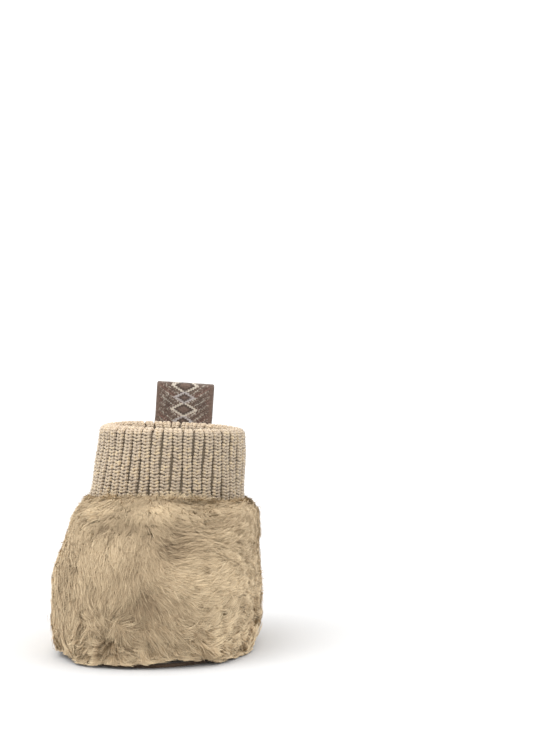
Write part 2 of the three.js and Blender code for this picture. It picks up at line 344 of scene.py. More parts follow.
def stitches(name, spot, count, radius, nodes):
    """A row of stitches: each is a spindle of thread between the spots at its two ends, over the
    spot at its middle. spot takes -1, 0 or 1 for the place along the stitch and a lift off it."""
    start, middle, end = spot(-1, 0.0), spot(0, 0.0), spot(1, 0.0)
    side = np.cross(end - start, spot(0, 1.0) - middle)
    made = build_mesh(name, *spindle_batch(start, middle, end, side, np.full(count, radius), 8))
    return finish_piece(made, shared("sewing_thread", thread_material), nodes=nodes)


def even_spots(line, pitch):
    """Lengths at an even pitch along a line of points, and the length at each of its points."""
    way = np.concatenate([[0], np.cumsum(np.linalg.norm(np.diff(line, axis=0), axis=1))])
    count = int(way[-1] / pitch)
    return (np.arange(count) + 0.5) * way[-1] / count, way


def seam_stitches(name, surface, angle, depth, nodes):
    """Whip stitches over a seam of the upper at an angle and a depth: each climbs out of one edge,
    crosses the gap and dives into the other edge a little higher."""
    share = np.linspace(0.05, 0.97, 300)
    spots, way = even_spots(surface(angle, share, depth), WHIP_PITCH)
    small = 0.01

    def spot(place, lift):
        here = np.interp(spots + WHIP_CLIMB * place, way, share)
        middle = surface(angle, here, depth)
        side = unit(surface(angle + small, here, depth) - surface(angle - small, here, depth))
        up = unit(surface(angle, here + small, depth) - surface(angle, here - small, depth))
        proud = lift + WHIP_RISE * (1 - 2 * abs(place))
        return middle + WHIP_REACH * place * side + proud * np.cross(side, up)

    return stitches(name, spot, len(spots), THREAD_RADIUS, nodes)


# ---- Materials -----------------------------------------------------------------------------------


class Value:
    """A socket whose arithmetic adds Math nodes to its material."""

    def __init__(self, paint, socket):
        self.paint = paint
        self.socket = socket

    def math(self, operation, *others):
        sockets = dict(enumerate((self, *others)))
        return self.paint.node("ShaderNodeMath", sockets, operation=operation)

    def __add__(self, other):
        return self.math("ADD", other)

    __radd__ = __add__

    def __mul__(self, other):
        return self.math("MULTIPLY", other)

    __rmul__ = __mul__

    def __sub__(self, other):
        return self.math("SUBTRACT", other)

    def __rsub__(self, other):
        return self.math("MULTIPLY", -1).math("ADD", other)

    def size(self):
        return self.math("ABSOLUTE")

    def most(self, other):
        return self.math("MAXIMUM", other)

    def zigzag(self, half):
        """A triangle wave that climbs from 0 to half a period and falls back."""
        return self.math("PINGPONG", half)

    def wave(self, period):
        """A sine wave from 0 to 1."""
        return (self * (TURN / period)).math("SINE") * 0.5 + 0.5

    def step(self, low, high):
        """0 at low, 1 at high, level beyond them and smooth between them."""
        sockets = {"Value": self, "From Min": low, "From Max": high}
        return self.paint.node("ShaderNodeMapRange", sockets, interpolation_type="SMOOTHSTEP")


class Paint:
    """A material and the one way in which its nodes are added."""

    def __init__(self, name):
        self.material = bpy.data.materials.new(name)
        self.material.use_nodes = True
        self.tree = self.material.node_tree
        self.shader = self.tree.nodes["Principled BSDF"]

    def node(self, kind, sockets=(), out=0, stops=(), **settings):
        """Adds a node: its settings first, then the values or links of its sockets."""
        made = self.tree.nodes.new(kind)
        for key, value in settings.items():
            setattr(made, key, value)
        if stops:
            elements = made.color_ramp.elements
            while len(elements) < len(stops):
                elements.new(0.5)
            for element, (place, colour) in zip(elements, stops):
                element.position = place
                element.color = (*colour, 1)
        for key, value in dict(sockets).items():
            self.put(made.inputs[key], value)
        return Value(self, made.outputs[out])

    def put(self, socket, value):
        """Links a value to a socket, or sets the socket's own number or colour."""
        if isinstance(value, Value):
            self.tree.links.new(value.socket, socket)
        elif socket.type == "RGBA":
            socket.default_value = (*value, 1)
        else:
            socket.default_value = value

    def mix(self, factor, a, b, blend="MIX"):
        """Two colours mixed, all of the first where the factor is 0."""
        sockets = {0: factor, 6: a, 7: b}
        return self.node("ShaderNodeMix", sockets, 2, data_type="RGBA", blend_type=blend)

    def ramp(self, factor, *stops):
        return self.node("ShaderNodeValToRGB", {0: factor}, stops=stops)

    def place(self):
        """The point of the object that is painted."""
        return self.node("ShaderNodeTexCoord", out="Object")

    def mapped(self, uv_name):
        """Both coordinates of the piece's own map."""
        point = self.node("ShaderNodeUVMap", uv_map=uv_name)
        return self.split(point)[:2]

    def split(self, vector):
        first = self.node("ShaderNodeSeparateXYZ", {0: vector})
        return [Value(self, out) for out in first.socket.node.outputs]

    def noise(self, scale, detail=3.0, roughness=0.55, stretch=None):
        """Noise from 0 to 1, its scale in waves to the metre."""
        point = self.place()
        if stretch:
            point = self.node("ShaderNodeMapping", {"Vector": point, "Scale": stretch})
        sockets = {"Vector": point, "Scale": scale, "Detail": detail, "Roughness": roughness}
        return self.node("ShaderNodeTexNoise", sockets)

    def bump(self, height, depth):
        """A bump of a depth in metres."""
        sockets = {"Height": height, "Strength": 1.0, "Distance": depth}
        return self.node("ShaderNodeBump", sockets)


SOCKETS = {
    "colour": "Base Color",
    "roughness": "Roughness",
    "normal": "Normal",
    "sheen": "Sheen Weight",
    "sheen_roughness": "Sheen Roughness",
    "sheen_tint": "Sheen Tint",
    "specular": "Specular IOR Level",
}


def done(paint, relief=None, **values):
    """Sets the shader's sockets by their short names and returns the material. The relief is a
    height and the depth of its bump in metres."""
    if relief:
        values["normal"] = paint.bump(*relief)
    for key, value in values.items():
        paint.put(paint.shader.inputs[SOCKETS[key]], value)
    return paint.material


def shade(colour, factor):
    """A colour made lighter or darker, worked out in plain numbers."""
    return tuple(min(1.0, c * factor) for c in colour)


def tinted(colour, *factors):
    """A colour with each of its channels scaled by its own factor."""
    return tuple(c * factor for c, factor in zip(colour, factors))


def shared(name, make):
    """The material of that name, made the first time that it is asked for."""
    return bpy.data.materials.get(name) or make()


# ---- Settings ------------------------------------------------------------------------------------


def colour_setting(name, description, default):
    return bpy.props.FloatVectorProperty(
        name=name, description=description, default=default, subtype="COLOR", size=3, min=0, max=1
    )


def length_setting(name, description, default):
    return bpy.props.FloatProperty(
        name=name, description=description, default=default, unit="LENGTH", subtype="DISTANCE"
    )


class BootieSizes(bpy.types.PropertyGroup):
    """Sizes that a user would change."""

    pile_length: length_setting("Pile length", "Length of a hair of the fur", 0.0095)
    hair_width: length_setting("Hair width", "Width of a hair of the fur at its middle", 0.00024)
    locks: bpy.props.IntProperty(
        name="Locks", description="Number of large locks of the fur", default=1500, min=10
    )
    tufts: bpy.props.IntProperty(
        name="Tufts", description="Number of small tufts of the fur", default=18500, min=100
    )
    rib_count: bpy.props.IntProperty(
        name="Ribs", description="Number of ribs round the cuff", default=40, min=8
    )
    stitch_pitch: length_setting("Stitch pitch", "Height of one row of the knit", 0.00128)
    view_turn: bpy.props.FloatProperty(
        name="View turn", description="Angle of the view from straight ahead",
        default=math.radians(5.9), subtype="ANGLE",
    )
    view_distance: length_setting("View distance", "From the camera to the ankle's axis", 0.700)
    view_height: length_setting("View height", "Height of the camera above the floor", 0.113)
    view_aside: length_setting(
        "View aside", "From the line of sight to the ankle's axis", 0.0449
    )


class BootieColours(bpy.types.PropertyGroup):
    """Colours that a user would change."""

    fur: colour_setting("Fur", "Middle of the fur's hairs", (0.585, 0.462, 0.306))
    knit: colour_setting("Knit", "Yarn of the cuff", (0.605, 0.497, 0.37))
    fleece: colour_setting("Fleece", "Lining and insole", (0.72, 0.61, 0.45))
    suede: colour_setting("Suede", "Outsole", (0.095, 0.062, 0.04))
    ribbon: colour_setting("Ribbon", "Ground of the pull tab", (0.212, 0.138, 0.102))
    figure: colour_setting("Figure", "Pale threads of the pull tab", (0.92, 0.84, 0.70))
    thread: colour_setting("Thread", "Sewing thread", (0.42, 0.29, 0.17))


def sizes():
    return bpy.context.scene.bootie_sizes


def colours():
    return bpy.context.scene.bootie_colours


# ---- Fur -----------------------------------------------------------------------------------------

SKIN_DEPTH = 5.3  # of the backing under the tips of the pile
PILE_MIDDLE = 2.0  # the depth in the pile at which tufts are placed and directions measured
HAIR_STATIONS = np.array([0.0, 0.28, 0.56, 0.82, 1.0])
HAIR_WIDTHS = np.array([0.9, 1.0, 0.9, 0.55])
TUFT_HAIRS = 12
MOST_HAIRS = 27500  # of one mesh
COLLAR_HAIRS = 13000
COLLAR_TUFTS = 900
FUR_SEED, COLLAR_SEED, CUFF_SEED = 8, 18, 5
BURST_X, BURST_Z = -8, 9.5  # the middle of the tuft at the tip of the toe
SOFTNESS = 0.78  # how far the blades' shading follows the surface under them
LIFT = 0.3  # how far it turns upwards, as light that is scattered in deep pile does
PANEL_STEPS, PANEL_ROWS = 48, 41
PANEL_GAP = 0.012  # from the seam to the edge of a panel, in radians
LOWEST_SHARE = 0.12  # where the pile leaves the panel and hangs over the sole's edge

# Painted light and shade on the front of the pile, each with a matching relief: a lit
# ridge with a shaded crease below the cuff, shaded spots down the toe and lit patches on its right.
# Columns: the x and z of their middle, their reach both ways and how far they stand out, as a
# share of white. A pale mark is painted light and stands proud; a dark one is painted shade and
# lies low.
LIGHT_AND_SHADE_MARKS = [
    (3, 24, 7, 8, -0.32),
    (2, 13, 14, 8, -0.14),
    (14, 44, 9, 7, -0.24),
    (26, 50.5, 7, 2.4, -0.14),
    (-8, 50, 12, 2.6, -0.24),
    (4, 55, 7, 2.6, 0.26),
    (-20, 56, 7, 2.4, 0.24),
    (-13, 40, 7, 5, 0.08),
    (29, 26, 11, 17, 0.25),
    (18, 34, 6, 6, 0.22),
    (-14, 27, 5, 4, -0.12),
    (30, 8, 12, 5, 0.22),
    (-22, 14, 9, 7, 0.10),
    (2, 7, 40, 5, 0.10),
    (31, 53, 8, 3, 0.12),
]


def light_and_shade_marks(points):
    """The sum of the painted light and shade marks at points of the pile, on its front only."""
    x, y, z = axes(points)
    total = 0
    for mark_x, mark_z, wide, tall, amount in LIGHT_AND_SHADE_MARKS:
        total = total + amount * np.exp(-(((x - mark_x) / wide) ** 2) - ((z - mark_z) / tall) ** 2)
    return total * (y < 15)


def scatter(draw, count, low=0.0):
    """Angles and shares of random points spread evenly over the upper, from a grid of the areas of
    its cells, but closer together at the toe, along the parting and in the tuft at its tip."""
    edges_a = np.linspace(-math.pi, math.pi, 361)
    edges_s = np.linspace(low, 1.0, 91)
    points = fur_surface(edges_a[:, None], edges_s[None], 2.5)
    across = points[1:, :-1] - points[:-1, :-1]
    upwards = points[:-1, 1:] - points[:-1, :-1]
    area = np.linalg.norm(np.cross(across, upwards), axis=-1)
    middle = (edges_a[1:] + edges_a[:-1]) / 2
    area = area * (0.85 + 0.3 * np.cos(middle))[:, None]
    centres = points[:-1, :-1]
    parting = bell(centres[..., 0], 7, 6) * (centres[..., 1] < 0)
    area = area * (1 + 0.7 * parting + 1.6 * burst(centres, 60))
    cells = draw.choice(area.size, count, p=(area / area.sum()).ravel())
    i, j = np.unravel_index(cells, area.shape)
    step_a, step_s = edges_a[1] - edges_a[0], edges_s[1] - edges_s[0]
    return edges_a[i] + draw.random(count) * step_a, edges_s[j] + draw.random(count) * step_s


def frame_at(angle, share):
    """Millimetres to the radian and to the whole share at points of the upper, and its normal."""
    small = 2e-3
    low = np.clip(share, 0.02, 1 - small)
    across = fur_surface(angle + small, low, PILE_MIDDLE)
    across = across - fur_surface(angle - small, low, PILE_MIDDLE)
    upwards = fur_surface(angle, low + small, PILE_MIDDLE) - fur_surface(angle, low, PILE_MIDDLE)
    per_angle = np.linalg.norm(across, axis=-1) / (2 * small)
    per_share = np.linalg.norm(upwards, axis=-1) / small
    return np.maximum(per_angle, 8.0), np.maximum(per_share, 30.0), unit(np.cross(across, upwards))


def nearest(points, centres):
    """The number of the centre that is nearest to each point, from one table of distances."""
    table = (centres**2).sum(1)[None] - 2 * points.astype(np.float32) @ centres.T.astype(np.float32)
    return table.argmin(1)


def lay(points):
    """How the pile lies at points of the upper: its direction towards +angle and towards the hem.
    It falls straight down on the left of the toe and round the heel, is brushed to the right on the
    right, and spreads from under the cuff and from a tuft at the tip of the toe."""
    x, y, z = axes(points)
    front = np.clip(-y / 20 + 0.6, 0, 1)
    brushed = soft_step(x - 9 - 4 * ripple(x, y, z, 26, 3), 0, 4.5)
    wave = ripple(x, y, z, 15, 4)
    bend = math.radians(20) * wave + math.radians(12) * ripple(x, y, z, 6, 5)
    turn = math.radians(80) * brushed * (0.3 + 0.7 * front) + bend
    collar = fade(z, 48, 9) * front
    spread = math.radians(58) * np.tanh((x + 3) / 14)
    turn = turn * (1 - collar) + (spread + bend) * collar
    right, down = np.sin(turn), np.cos(turn)
    away_x, away_z = x - BURST_X, BURST_Z - z
    near = 0.9 * burst(points, 110)
    far = np.maximum(np.hypot(away_x, away_z), 1.0)
    right = right * (1 - near) + near * away_x / far
    down = down * (1 - near) + near * away_z / far
    size = np.maximum(np.hypot(right, down), 1e-3)
    return right / size, down / size


def hem_line(points):
    """How far above the floor the pile's ends stay, in millimetres: a little on the left of the toe
    and more on its right, where the sole's edge shows."""
    x, y, _ = axes(points)
    shown = 3.5 * bell(x, 11, 13) * (y < 0)
    rounded = 2.3 * fade(-x, 12, 16) * (y < 10)
    return 0.7 + shown + rounded + 0.6 * ripple(x, y, 0, 7, 41)


def burst(points, spread):
    """The tuft at the tip of the toe: 1 at its middle and less with the square of the distance."""
    x, y, z = axes(points)
    return np.exp(-((x - BURST_X) ** 2 + (z - BURST_Z) ** 2) / spread) * (y < -30)


def ruffle(points):
    """How ruffled the pile is, from 0, where it lies like velvet, to 1, where it stands in locks:
    most along the bottom, some on the brushed side, least high on the left of the toe."""
    x, y, z = axes(points)
    low = fade(z, 30, -22)
    side = soft_step(x, 12, 5)
    behind = fade(y, -5, 30)
    rough = 0.16 + 0.75 * low + 0.30 * side * (1 - low) + 0.12 * behind
    return np.clip(rough + 0.12 * ripple(x, y, z, 14, 9), 0.08, 1.0)


def swell(points):
    """How far the pile stands out of the panel's own surface, in millimetres: fullest round the
    bulge of the foot and at its right lower corner, flatter at the shoulders, fuller on the right
    than on the left, proud under the painted light marks and low under the painted shade marks."""
    x, y, z = axes(points)
    x = x / HALF_WIDTH
    left, right = np.clip(-x, 0, 1) ** 2, np.clip(x, 0, 1) ** 2
    full, shoulder = fade(z, 46, -14), fade(z, 30, 17)
    height = 0.1 + 1.3 * full - left * (1.1 + 1.9 * shoulder)
    height = height + right * (2.6 * bell(z, 48, 7) - 0.1)
    height = height - 2.6 * fade(z, 54, 5) * fade(x, 0, 0.5)
    height = height + 2.6 * (fade(x, 0.55, 0.3) * fade(z, 13, -8) * (y < -10))
    return height + 4.2 * light_and_shade_marks(points) + 1.0 * streaks(points) * ruffle(points)


def streaks(points):
    """Long waves of the pile, from about -1 to 1: level on the brushed side, upright elsewhere."""
    x, y, z = axes(points)
    side = soft_step(x, 12, 4)
    level = 0.7 * ripple(0.3 * x, 0.3 * y, z, 5, 13) + 0.6 * ripple(0.35 * x, 0.35 * y, z, 2.6, 15)
    return side * level + (1 - side) * ripple(x, y, 0.35 * z, 6, 14)


def tone_and_painted_light(points):
    """Tone of the pile over the upper: broad random patches, painted light on the raised waves and
    painted shade in their troughs, painted light along both side edges, most on the left, and the
    painted light and shade marks.
    """
    x, y, z = axes(points)
    patches = 0.05 * ripple(x, y, z, 30, 11) + 0.04 * ripple(x, y, z, 10, 12)
    # Painted light along the left and right edges of the pile, more on the left.
    rim = 0.30 * fade(np.abs(x) / HALF_WIDTH, 0.78, 0.2)
    # Painted light on the raised waves of the pile and painted shade in their troughs.
    waves = 0.09 * streaks(points) * ruffle(points)
    return 0.60 + patches + waves + 1.1 * rim * (x < 0) + 0.2 * rim + light_and_shade_marks(points)


def turned(right, down, angle):
    """A direction turned by an angle."""
    cos, sin = np.cos(angle), np.sin(angle)
    return right * cos + down * sin, down * cos - right * sin


def grow_fur():
    """Every hair of the fur as arrays: points, widths, tones and the angle of the root. Tufts are
    scattered over the upper and each belongs to the nearest of the larger locks. A hair rises from
    the backing and then runs along the surface as its tuft does. At t of its length L it has moved
    right L t^1.15 and down L t^1.15, in millimetres along the surface, while it closes in on the
    middle of its tuft and of its lock. Its angle and share are walked from station to station, with
    the surface's own scale at each."""
    draw = np.random.default_rng(FUR_SEED)
    size = sizes()
    count = size.tufts
    lock_a, lock_s = scatter(draw, size.locks)
    tuft_a, tuft_s = scatter(draw, count, 0.02)
    centre = fur_surface(tuft_a, tuft_s, PILE_MIDDLE)
    lock = nearest(centre, fur_surface(lock_a, lock_s, PILE_MIDDLE))
    rough = ruffle(centre)
    per_a, per_s, _ = frame_at(tuft_a, tuft_s)
    right, down = lay(centre)
    swing = (draw.normal(0, 0.15, size.locks)[lock] + draw.normal(0, 0.05, count)) * (0.2 + rough)
    right, down = turned(right, down, swing)
    to_lock_a = (lock_a[lock] - tuft_a + math.pi) % TURN - math.pi
    pull = 0.42 * rough
    drift_a = np.clip(to_lock_a * per_a, -4, 4) * pull
    drift_s = np.clip((lock_s[lock] - tuft_s) * per_s, -4, 4) * pull
    seen = fur_surface(
        tuft_a + 5.0 * right / per_a, np.clip(tuft_s - 5.0 * down / per_s, LOWEST_SHARE, 1), 0.0
    )
    locks = rough + 0.8 * fade(centre[:, 2], 22, -14)
    height = (
        swell(seen)
        + draw.normal(0, 0.45, size.locks)[lock] * locks
        + draw.normal(0, 0.36, count) * locks
    )
    tone = (
        tone_and_painted_light(seen)
        + draw.normal(0, 0.05, size.locks)[lock] * (0.5 + 0.8 * locks)
        + draw.normal(0, 0.085, count) * (0.45 + 0.55 * locks)
    )

    every = np.repeat(np.arange(count), TUFT_HAIRS)
    total = len(every)
    off_a, off_s = draw.normal(0, 0.62, total), draw.normal(0, 0.62, total)
    stray = draw.random(total) < 0.012
    right, down = turned(
        right[every], down[every], draw.normal(0, 0.035, total) + stray * draw.normal(0, 0.4, total)
    )
    length = size.pile_length / MM * (0.82 + 0.2 * rough[every]) * draw.uniform(0.75, 1.1, total)
    length = length * (1 - 0.42 * burst(centre, 40) - 0.42 * burst(centre, 9))[every]
    high = height[every] + draw.normal(0, 0.24, total) + stray * draw.uniform(0, 1.4, total)
    curl = (draw.normal(0, 0.10, count) * rough)[every] + draw.normal(0, 0.03, total)
    t = HAIR_STATIONS[None]
    gather = 1 - (0.45 + 0.40 * rough[every])[:, None] * t**1.2
    travel = length[:, None] * t**1.15
    right_t, down_t = turned(right[:, None], down[:, None], curl[:, None] * t * 2.2)
    move_a = off_a[:, None] * gather + drift_a[every][:, None] * t**1.3 + right_t * travel
    move_s = off_s[:, None] * gather + drift_s[every][:, None] * t**1.3 - down_t * travel
    step_a, step_s = np.diff(move_a, axis=1), np.diff(move_s, axis=1)
    angles = [tuft_a[every] + move_a[:, 0] / per_a[every]]
    shares = [tuft_s[every] + move_s[:, 0] / per_s[every]]
    for k in range(step_a.shape[1]):
        here_a, here_s, _ = frame_at(angles[-1], np.clip(shares[-1] - 0.02, LOWEST_SHARE, 1))
        angles.append(angles[-1] + step_a[:, k] / here_a)
        shares.append(shares[-1] + step_s[:, k] / here_s)
    angle, share = np.stack(angles, axis=1), np.stack(shares, axis=1)
    rise = np.clip(t * 2.2, 0, 1)
    rise = rise * rise * (3 - 2 * rise)
    depth = SKIN_DEPTH - (SKIN_DEPTH + high[:, None]) * rise
    below = np.clip(LOWEST_SHARE - share, 0, 1) * per_s[every][:, None]
    points = fur_surface(angle, np.clip(share, LOWEST_SHARE, 1), depth)
    hang = draw.uniform(0.3, 0.7, size.locks)[lock][every] * draw.uniform(0.7, 1.2, total)
    hang = 4.5 * np.tanh(below / 4.5) * hang[:, None]
    points = points + hang[..., None] * (0.15 * outwards(angle) - np.array([0, 0, 1.0]))
    lowest = (hem_line(centre) + draw.normal(0, 0.35, count))[every] + draw.normal(0, 0.2, total)
    lowest = np.maximum(lowest, 0.25)[:, None]
    points[..., 2] = lowest + 0.5 * np.logaddexp(0, (points[..., 2] - lowest) / 0.5)
    _, _, normal = frame_at(angle[:, 3], np.clip(share[:, 3], LOWEST_SHARE, 0.99))
    normal[:, 2] = np.maximum(normal[:, 2], 0.0) + LIFT
    tone = tone[every] + draw.normal(0, 0.06, total)
    return {
        "points": points,
        "normal": normal,
        "tone": np.clip(tone, 0, 1),
        "angle": (angle[:, 0] + math.pi) % TURN - math.pi,
        "roll": draw.normal(0, 0.35, total),
        "width": size.hair_width / MM * draw.uniform(0.75, 1.25, total),
    }


def outwards(angle):
    """The level direction away from the foot's middle at an angle."""
    return unit(at_height(*outline(angle, 0), 0.0))


def grow_collar():
    """The hairs that stand round the foot of the cuff: each rises beside it and leans away, lower
    where the tab hangs."""
    draw = np.random.default_rng(COLLAR_SEED)
    total = COLLAR_HAIRS
    tuft_a = draw.uniform(-math.pi, math.pi, COLLAR_TUFTS)
    tuft = draw.integers(0, COLLAR_TUFTS, total)
    angle = tuft_a[tuft] + draw.normal(0, 0.02, total)
    near_tab = np.exp(-((np.abs(angle) - math.pi) ** 2) / 0.30)
    tall = 7.6 + 1.6 * ripple(np.sin(angle) * 32, np.cos(angle) * 26, 0, 9, 31)
    tall = tall + draw.normal(0, 0.9, COLLAR_TUFTS)[tuft]
    tall = tall * (1 - 0.46 * np.sin(angle) ** 2 - 0.06 * np.sin(angle)) * (1 - 0.4 * near_tab)
    tall = tall * draw.uniform(0.6, 1.15, total)
    lean = (draw.uniform(0.2, 1.0, total) * (1 - 0.3 * near_tab))[:, None]
    drift = (draw.normal(0, 0.28, COLLAR_TUFTS)[tuft] + draw.normal(0, 0.15, total))[:, None]
    t = HAIR_STATIONS[None]
    share = 1 - draw.random(total)[:, None] * 0.05 - 0.05 * lean * t**2
    angle = angle[:, None] + drift * tall[:, None] * t**1.4 / 30
    base = fur_surface(angle, share, SKIN_DEPTH + 0 * t)
    away = outwards(angle)
    points = base + tall[:, None, None] * (
        np.array([0, 0, 1.0]) * (t - 0.42 * t**3 * lean)[..., None]
        + away * (0.60 * lean * t**1.8 + 0.05 * t)[..., None]
    )
    tone = tone_and_painted_light(base[:, 0]) + draw.normal(0, 0.07, total) + 0.08
    return {
        "points": points,
        "normal": unit(0.7 * away[:, 2] + np.array([0, 0, 0.7])),
        "tone": np.clip(tone, 0, 1),
        "angle": (angle[:, 0] + math.pi) % TURN - math.pi,
        "roll": draw.normal(0, 0.45, total),
        "width": sizes().hair_width / MM * draw.uniform(0.75, 1.25, total),
    }


def hair_mesh(name, fur, picked):
    """Flat tapered blades along the picked hairs, turned to face away from the foot, with the tone
    along one side of their map and the way from root to tip along the other. Their shading normals
    lean to the surface's own, as the light on deep pile does."""
    points, normal = fur["points"][picked], fur["normal"][picked][:, None]
    count = len(picked)
    along = unit(np.gradient(points, axis=1))
    side = unit(np.cross(along[:, :4], normal))
    facing = np.cross(side, along[:, :4])
    roll = fur["roll"][picked][:, None, None]
    side, facing = (
        side * np.cos(roll) + facing * np.sin(roll),
        facing * np.cos(roll) - side * np.sin(roll),
    )
    half = (fur["width"][picked][:, None] * HAIR_WIDTHS[None] / 2)[..., None]
    pairs = np.stack([points[:, :4] - side * half, points[:, :4] + side * half], axis=2)
    every = np.concatenate([pairs.reshape(count, -1, 3), points[:, 4:]], axis=1)
    shading = unit(SOFTNESS * normal + (1 - SOFTNESS) * facing)
    shading = np.repeat(shading, 2, axis=1)
    shading = np.concatenate([shading, shading[:, -1:]], axis=1)
    size = every.shape[1]
    quads = np.array([[2 * k, 2 * k + 1, 2 * k + 3, 2 * k + 2] for k in range(3)])
    tris = np.array([[6, 7, 8]])
    shift = (np.arange(count) * size)[:, None, None]
    u = 0.03 + 0.94 * fur["tone"][picked]
    across = np.array([-1, 1, -1, 1, -1, 1, -1, 1, 0]) * 0.006
    v = 0.03 + 0.94 * np.concatenate([np.repeat(HAIR_STATIONS[:4], 2), [1.0]])
    uv = np.stack(np.broadcast_arrays(u[:, None] + across[None], v[None]), axis=-1)
    made = build_mesh(
        name,
        every.reshape(-1, 3),
        (quads[None] + shift).reshape(-1, 4),
        (tris[None] + shift).reshape(-1, 3),
        uv.reshape(-1, 2),
        "OFBake",
    )
    made.data.normals_split_custom_set_from_vertices(shading.reshape(-1, 3).astype(np.float32))
    return made


def fur_material():
    """Plush hair: dark at the root, where it paints the shade deep in the pile, and pale at the
    tip, its tone along the other side of the map, which carries the pile's painted light and shade.
    """
    paint = Paint("plush_pile")
    colour = tuple(colours().fur)
    tone, way = paint.mapped("OFBake")
    # Painted shade darkens each hair towards its root, deep in the pile; the tip is paler.
    hair = paint.ramp(
        way,
        (0.0, tinted(colour, 0.48, 0.39, 0.32)),
        (0.35, tinted(colour, 0.76, 0.69, 0.62)),
        (0.7, shade(colour, 0.95)),
        (1.0, tinted(colour, 1.24, 1.26, 1.24)),
    )
    # The tone scales the hair's colour: random patches and the pile's painted light and shade.
    light = paint.ramp(
        tone, (0.0, (0.17, 0.13, 0.10)), (0.5, (0.78, 0.75, 0.72)), (1.0, (1.42, 1.45, 1.46))
    )
    return done(
        paint,
        colour=paint.mix(1.0, hair, light, "MULTIPLY"),
        roughness=0.72,
        sheen=0.35,
        sheen_roughness=0.5,
        sheen_tint=(1.0, 0.80, 0.54),
        specular=0.12,
    )


def backing_material():
    """The knitted backing under the pile, painted dark as the shade under the roots of the pile."""
    paint = Paint("fur_backing")
    colour = tuple(colours().fur)
    grain = paint.noise(900, 4)
    tint = paint.mix(grain, shade(colour, 0.30), shade(colour, 0.55))
    return done(paint, colour=tint, roughness=0.95, relief=(grain, 0.0006), specular=0.1)


PANELS = {
    "vamp": (-SEAM_ANGLE, SEAM_ANGLE),
    "quarter_left": (-math.pi, -SEAM_ANGLE),
    "quarter_right": (SEAM_ANGLE, math.pi),
}


def panel(name, low, high, surface, outer_depth, inner_depth):
    """A panel of the upper: the sheet between two depths of a surface, between two angles."""
    angle = np.linspace(low + PANEL_GAP, high - PANEL_GAP, PANEL_STEPS)[:, None]
    share = np.linspace(0.0, 1.0, PANEL_ROWS)[None]
    return closed_sheet(
        name, surface(angle, share, outer_depth), surface(angle, share, inner_depth)
    )


class BOOTIE_OT_fur(bpy.types.Operator):
    """Sew the fur's backing panels and grow the pile on them"""

    bl_idname = "bootie.fur"
    bl_label = "Fur"

    def execute(self, context):
        fur, collar = grow_fur(), grow_collar()
        fur = {key: np.concatenate([fur[key], collar[key]]) for key in fur}
        pile, backing = fur_material(), backing_material()
        for key, (low, high) in PANELS.items():
            skin = panel(f"fur_backing_{key}", low, high, fur_surface, SKIN_DEPTH, FUR_DEPTH)
            finish_piece(skin, backing, nodes=[f"fur_{key}"])
            picked = np.flatnonzero((fur["angle"] >= low) & (fur["angle"] < high))
            parts = math.ceil(len(picked) / MOST_HAIRS)
            for k in range(parts):
                made = hair_mesh(f"fur_pile_{key}_{k + 1}", fur, picked[k::parts])
                finish_piece(made, pile)
        return {"FINISHED"}


# ---- Lining --------------------------------------------------------------------------------------


def lining_surface(angle, share, depth):
    """A point of the lining, its depth in millimetres from its outer layer."""
    return upper(angle, share, LINING_OUTER, LINING_INNER, np.asarray(depth) / LINING_DEPTH)


def fleece_material():
    """Short-pile fleece: fine curls that catch the light."""
    paint = Paint("fleece")
    colour = tuple(colours().fleece)
    curls = paint.noise(520, 5, 0.65)
    broad = paint.noise(70, 2)
    tint = paint.mix(curls.step(0.3, 0.7), shade(colour, 0.72), shade(colour, 1.1))
    tint = paint.mix(broad.step(0.3, 0.7) * 0.3, tint, shade(colour, 0.8))
    return done(
        paint, colour=tint, roughness=0.95, relief=(curls, 0.0012), sheen=0.5, specular=0.15
    )


class BOOTIE_OT_lining(bpy.types.Operator):
    """Sew the fleece lining"""

    bl_idname = "bootie.lining"
    bl_label = "Lining"

    def execute(self, context):
        fleece = shared("fleece", fleece_material)
        for key, (low, high) in PANELS.items():
            made = panel(f"fleece_{key}", low, high, lining_surface, 0.0, LINING_DEPTH)
            finish_piece(made, fleece, nodes=[f"lining_{key}"])
        return {"FINISHED"}


# ---- Cuff ----------------------------------------------------------------------------------------

RIB_SHARE = 0.43  # of a rib's pitch, from its middle to its groove
CUFF_LEAN = 1.5  # the rim's shift to the right of the seam, in millimetres
RIM_TILT = 1.1  # how much the rim rises to the left and sinks to the right, in millimetres
CUFF_FLARE = 1.6  # how far the cuff's foot spreads on the left, in millimetres
GROUND_ROWS = 72


def cuff_profile():
    """The cuff's section as a line of insets and heights with its length along it: up the outside
    wall, over the folded rim in a half circle and down the inside wall."""
    radius = CUFF_WALL / 2
    fold = RIM_HEIGHT - radius
    height = np.linspace(CUFF_LOW[2] + 0.4, fold, 44)
    turn = np.linspace(0, math.pi, 24)[1:-1]
    lean = CUFF_TAPER * fade(height, ANKLE_HEIGHT, fold - ANKLE_HEIGHT) ** 0.7
    inset = np.concatenate(
        [lean, CUFF_TAPER + radius - radius * np.cos(turn), (lean + CUFF_WALL)[::-1]]
    )
    tall = np.concatenate([height, fold + radius * np.sin(turn), height[::-1]])
    length = np.concatenate([[0], np.cumsum(np.hypot(np.diff(inset), np.diff(tall)))])
    return inset, tall, length


def arc_angles(places):
    """Angles round the cuff's oval at shares of its way round, equal in length along it."""
    fine = np.linspace(-math.pi, math.pi, 2001)
    x, y = oval(fine, 0)
    way = np.concatenate([[0], np.cumsum(np.hypot(np.diff(x), np.diff(y)))])
    return np.interp(places % 1.0, way / way[-1], fine)


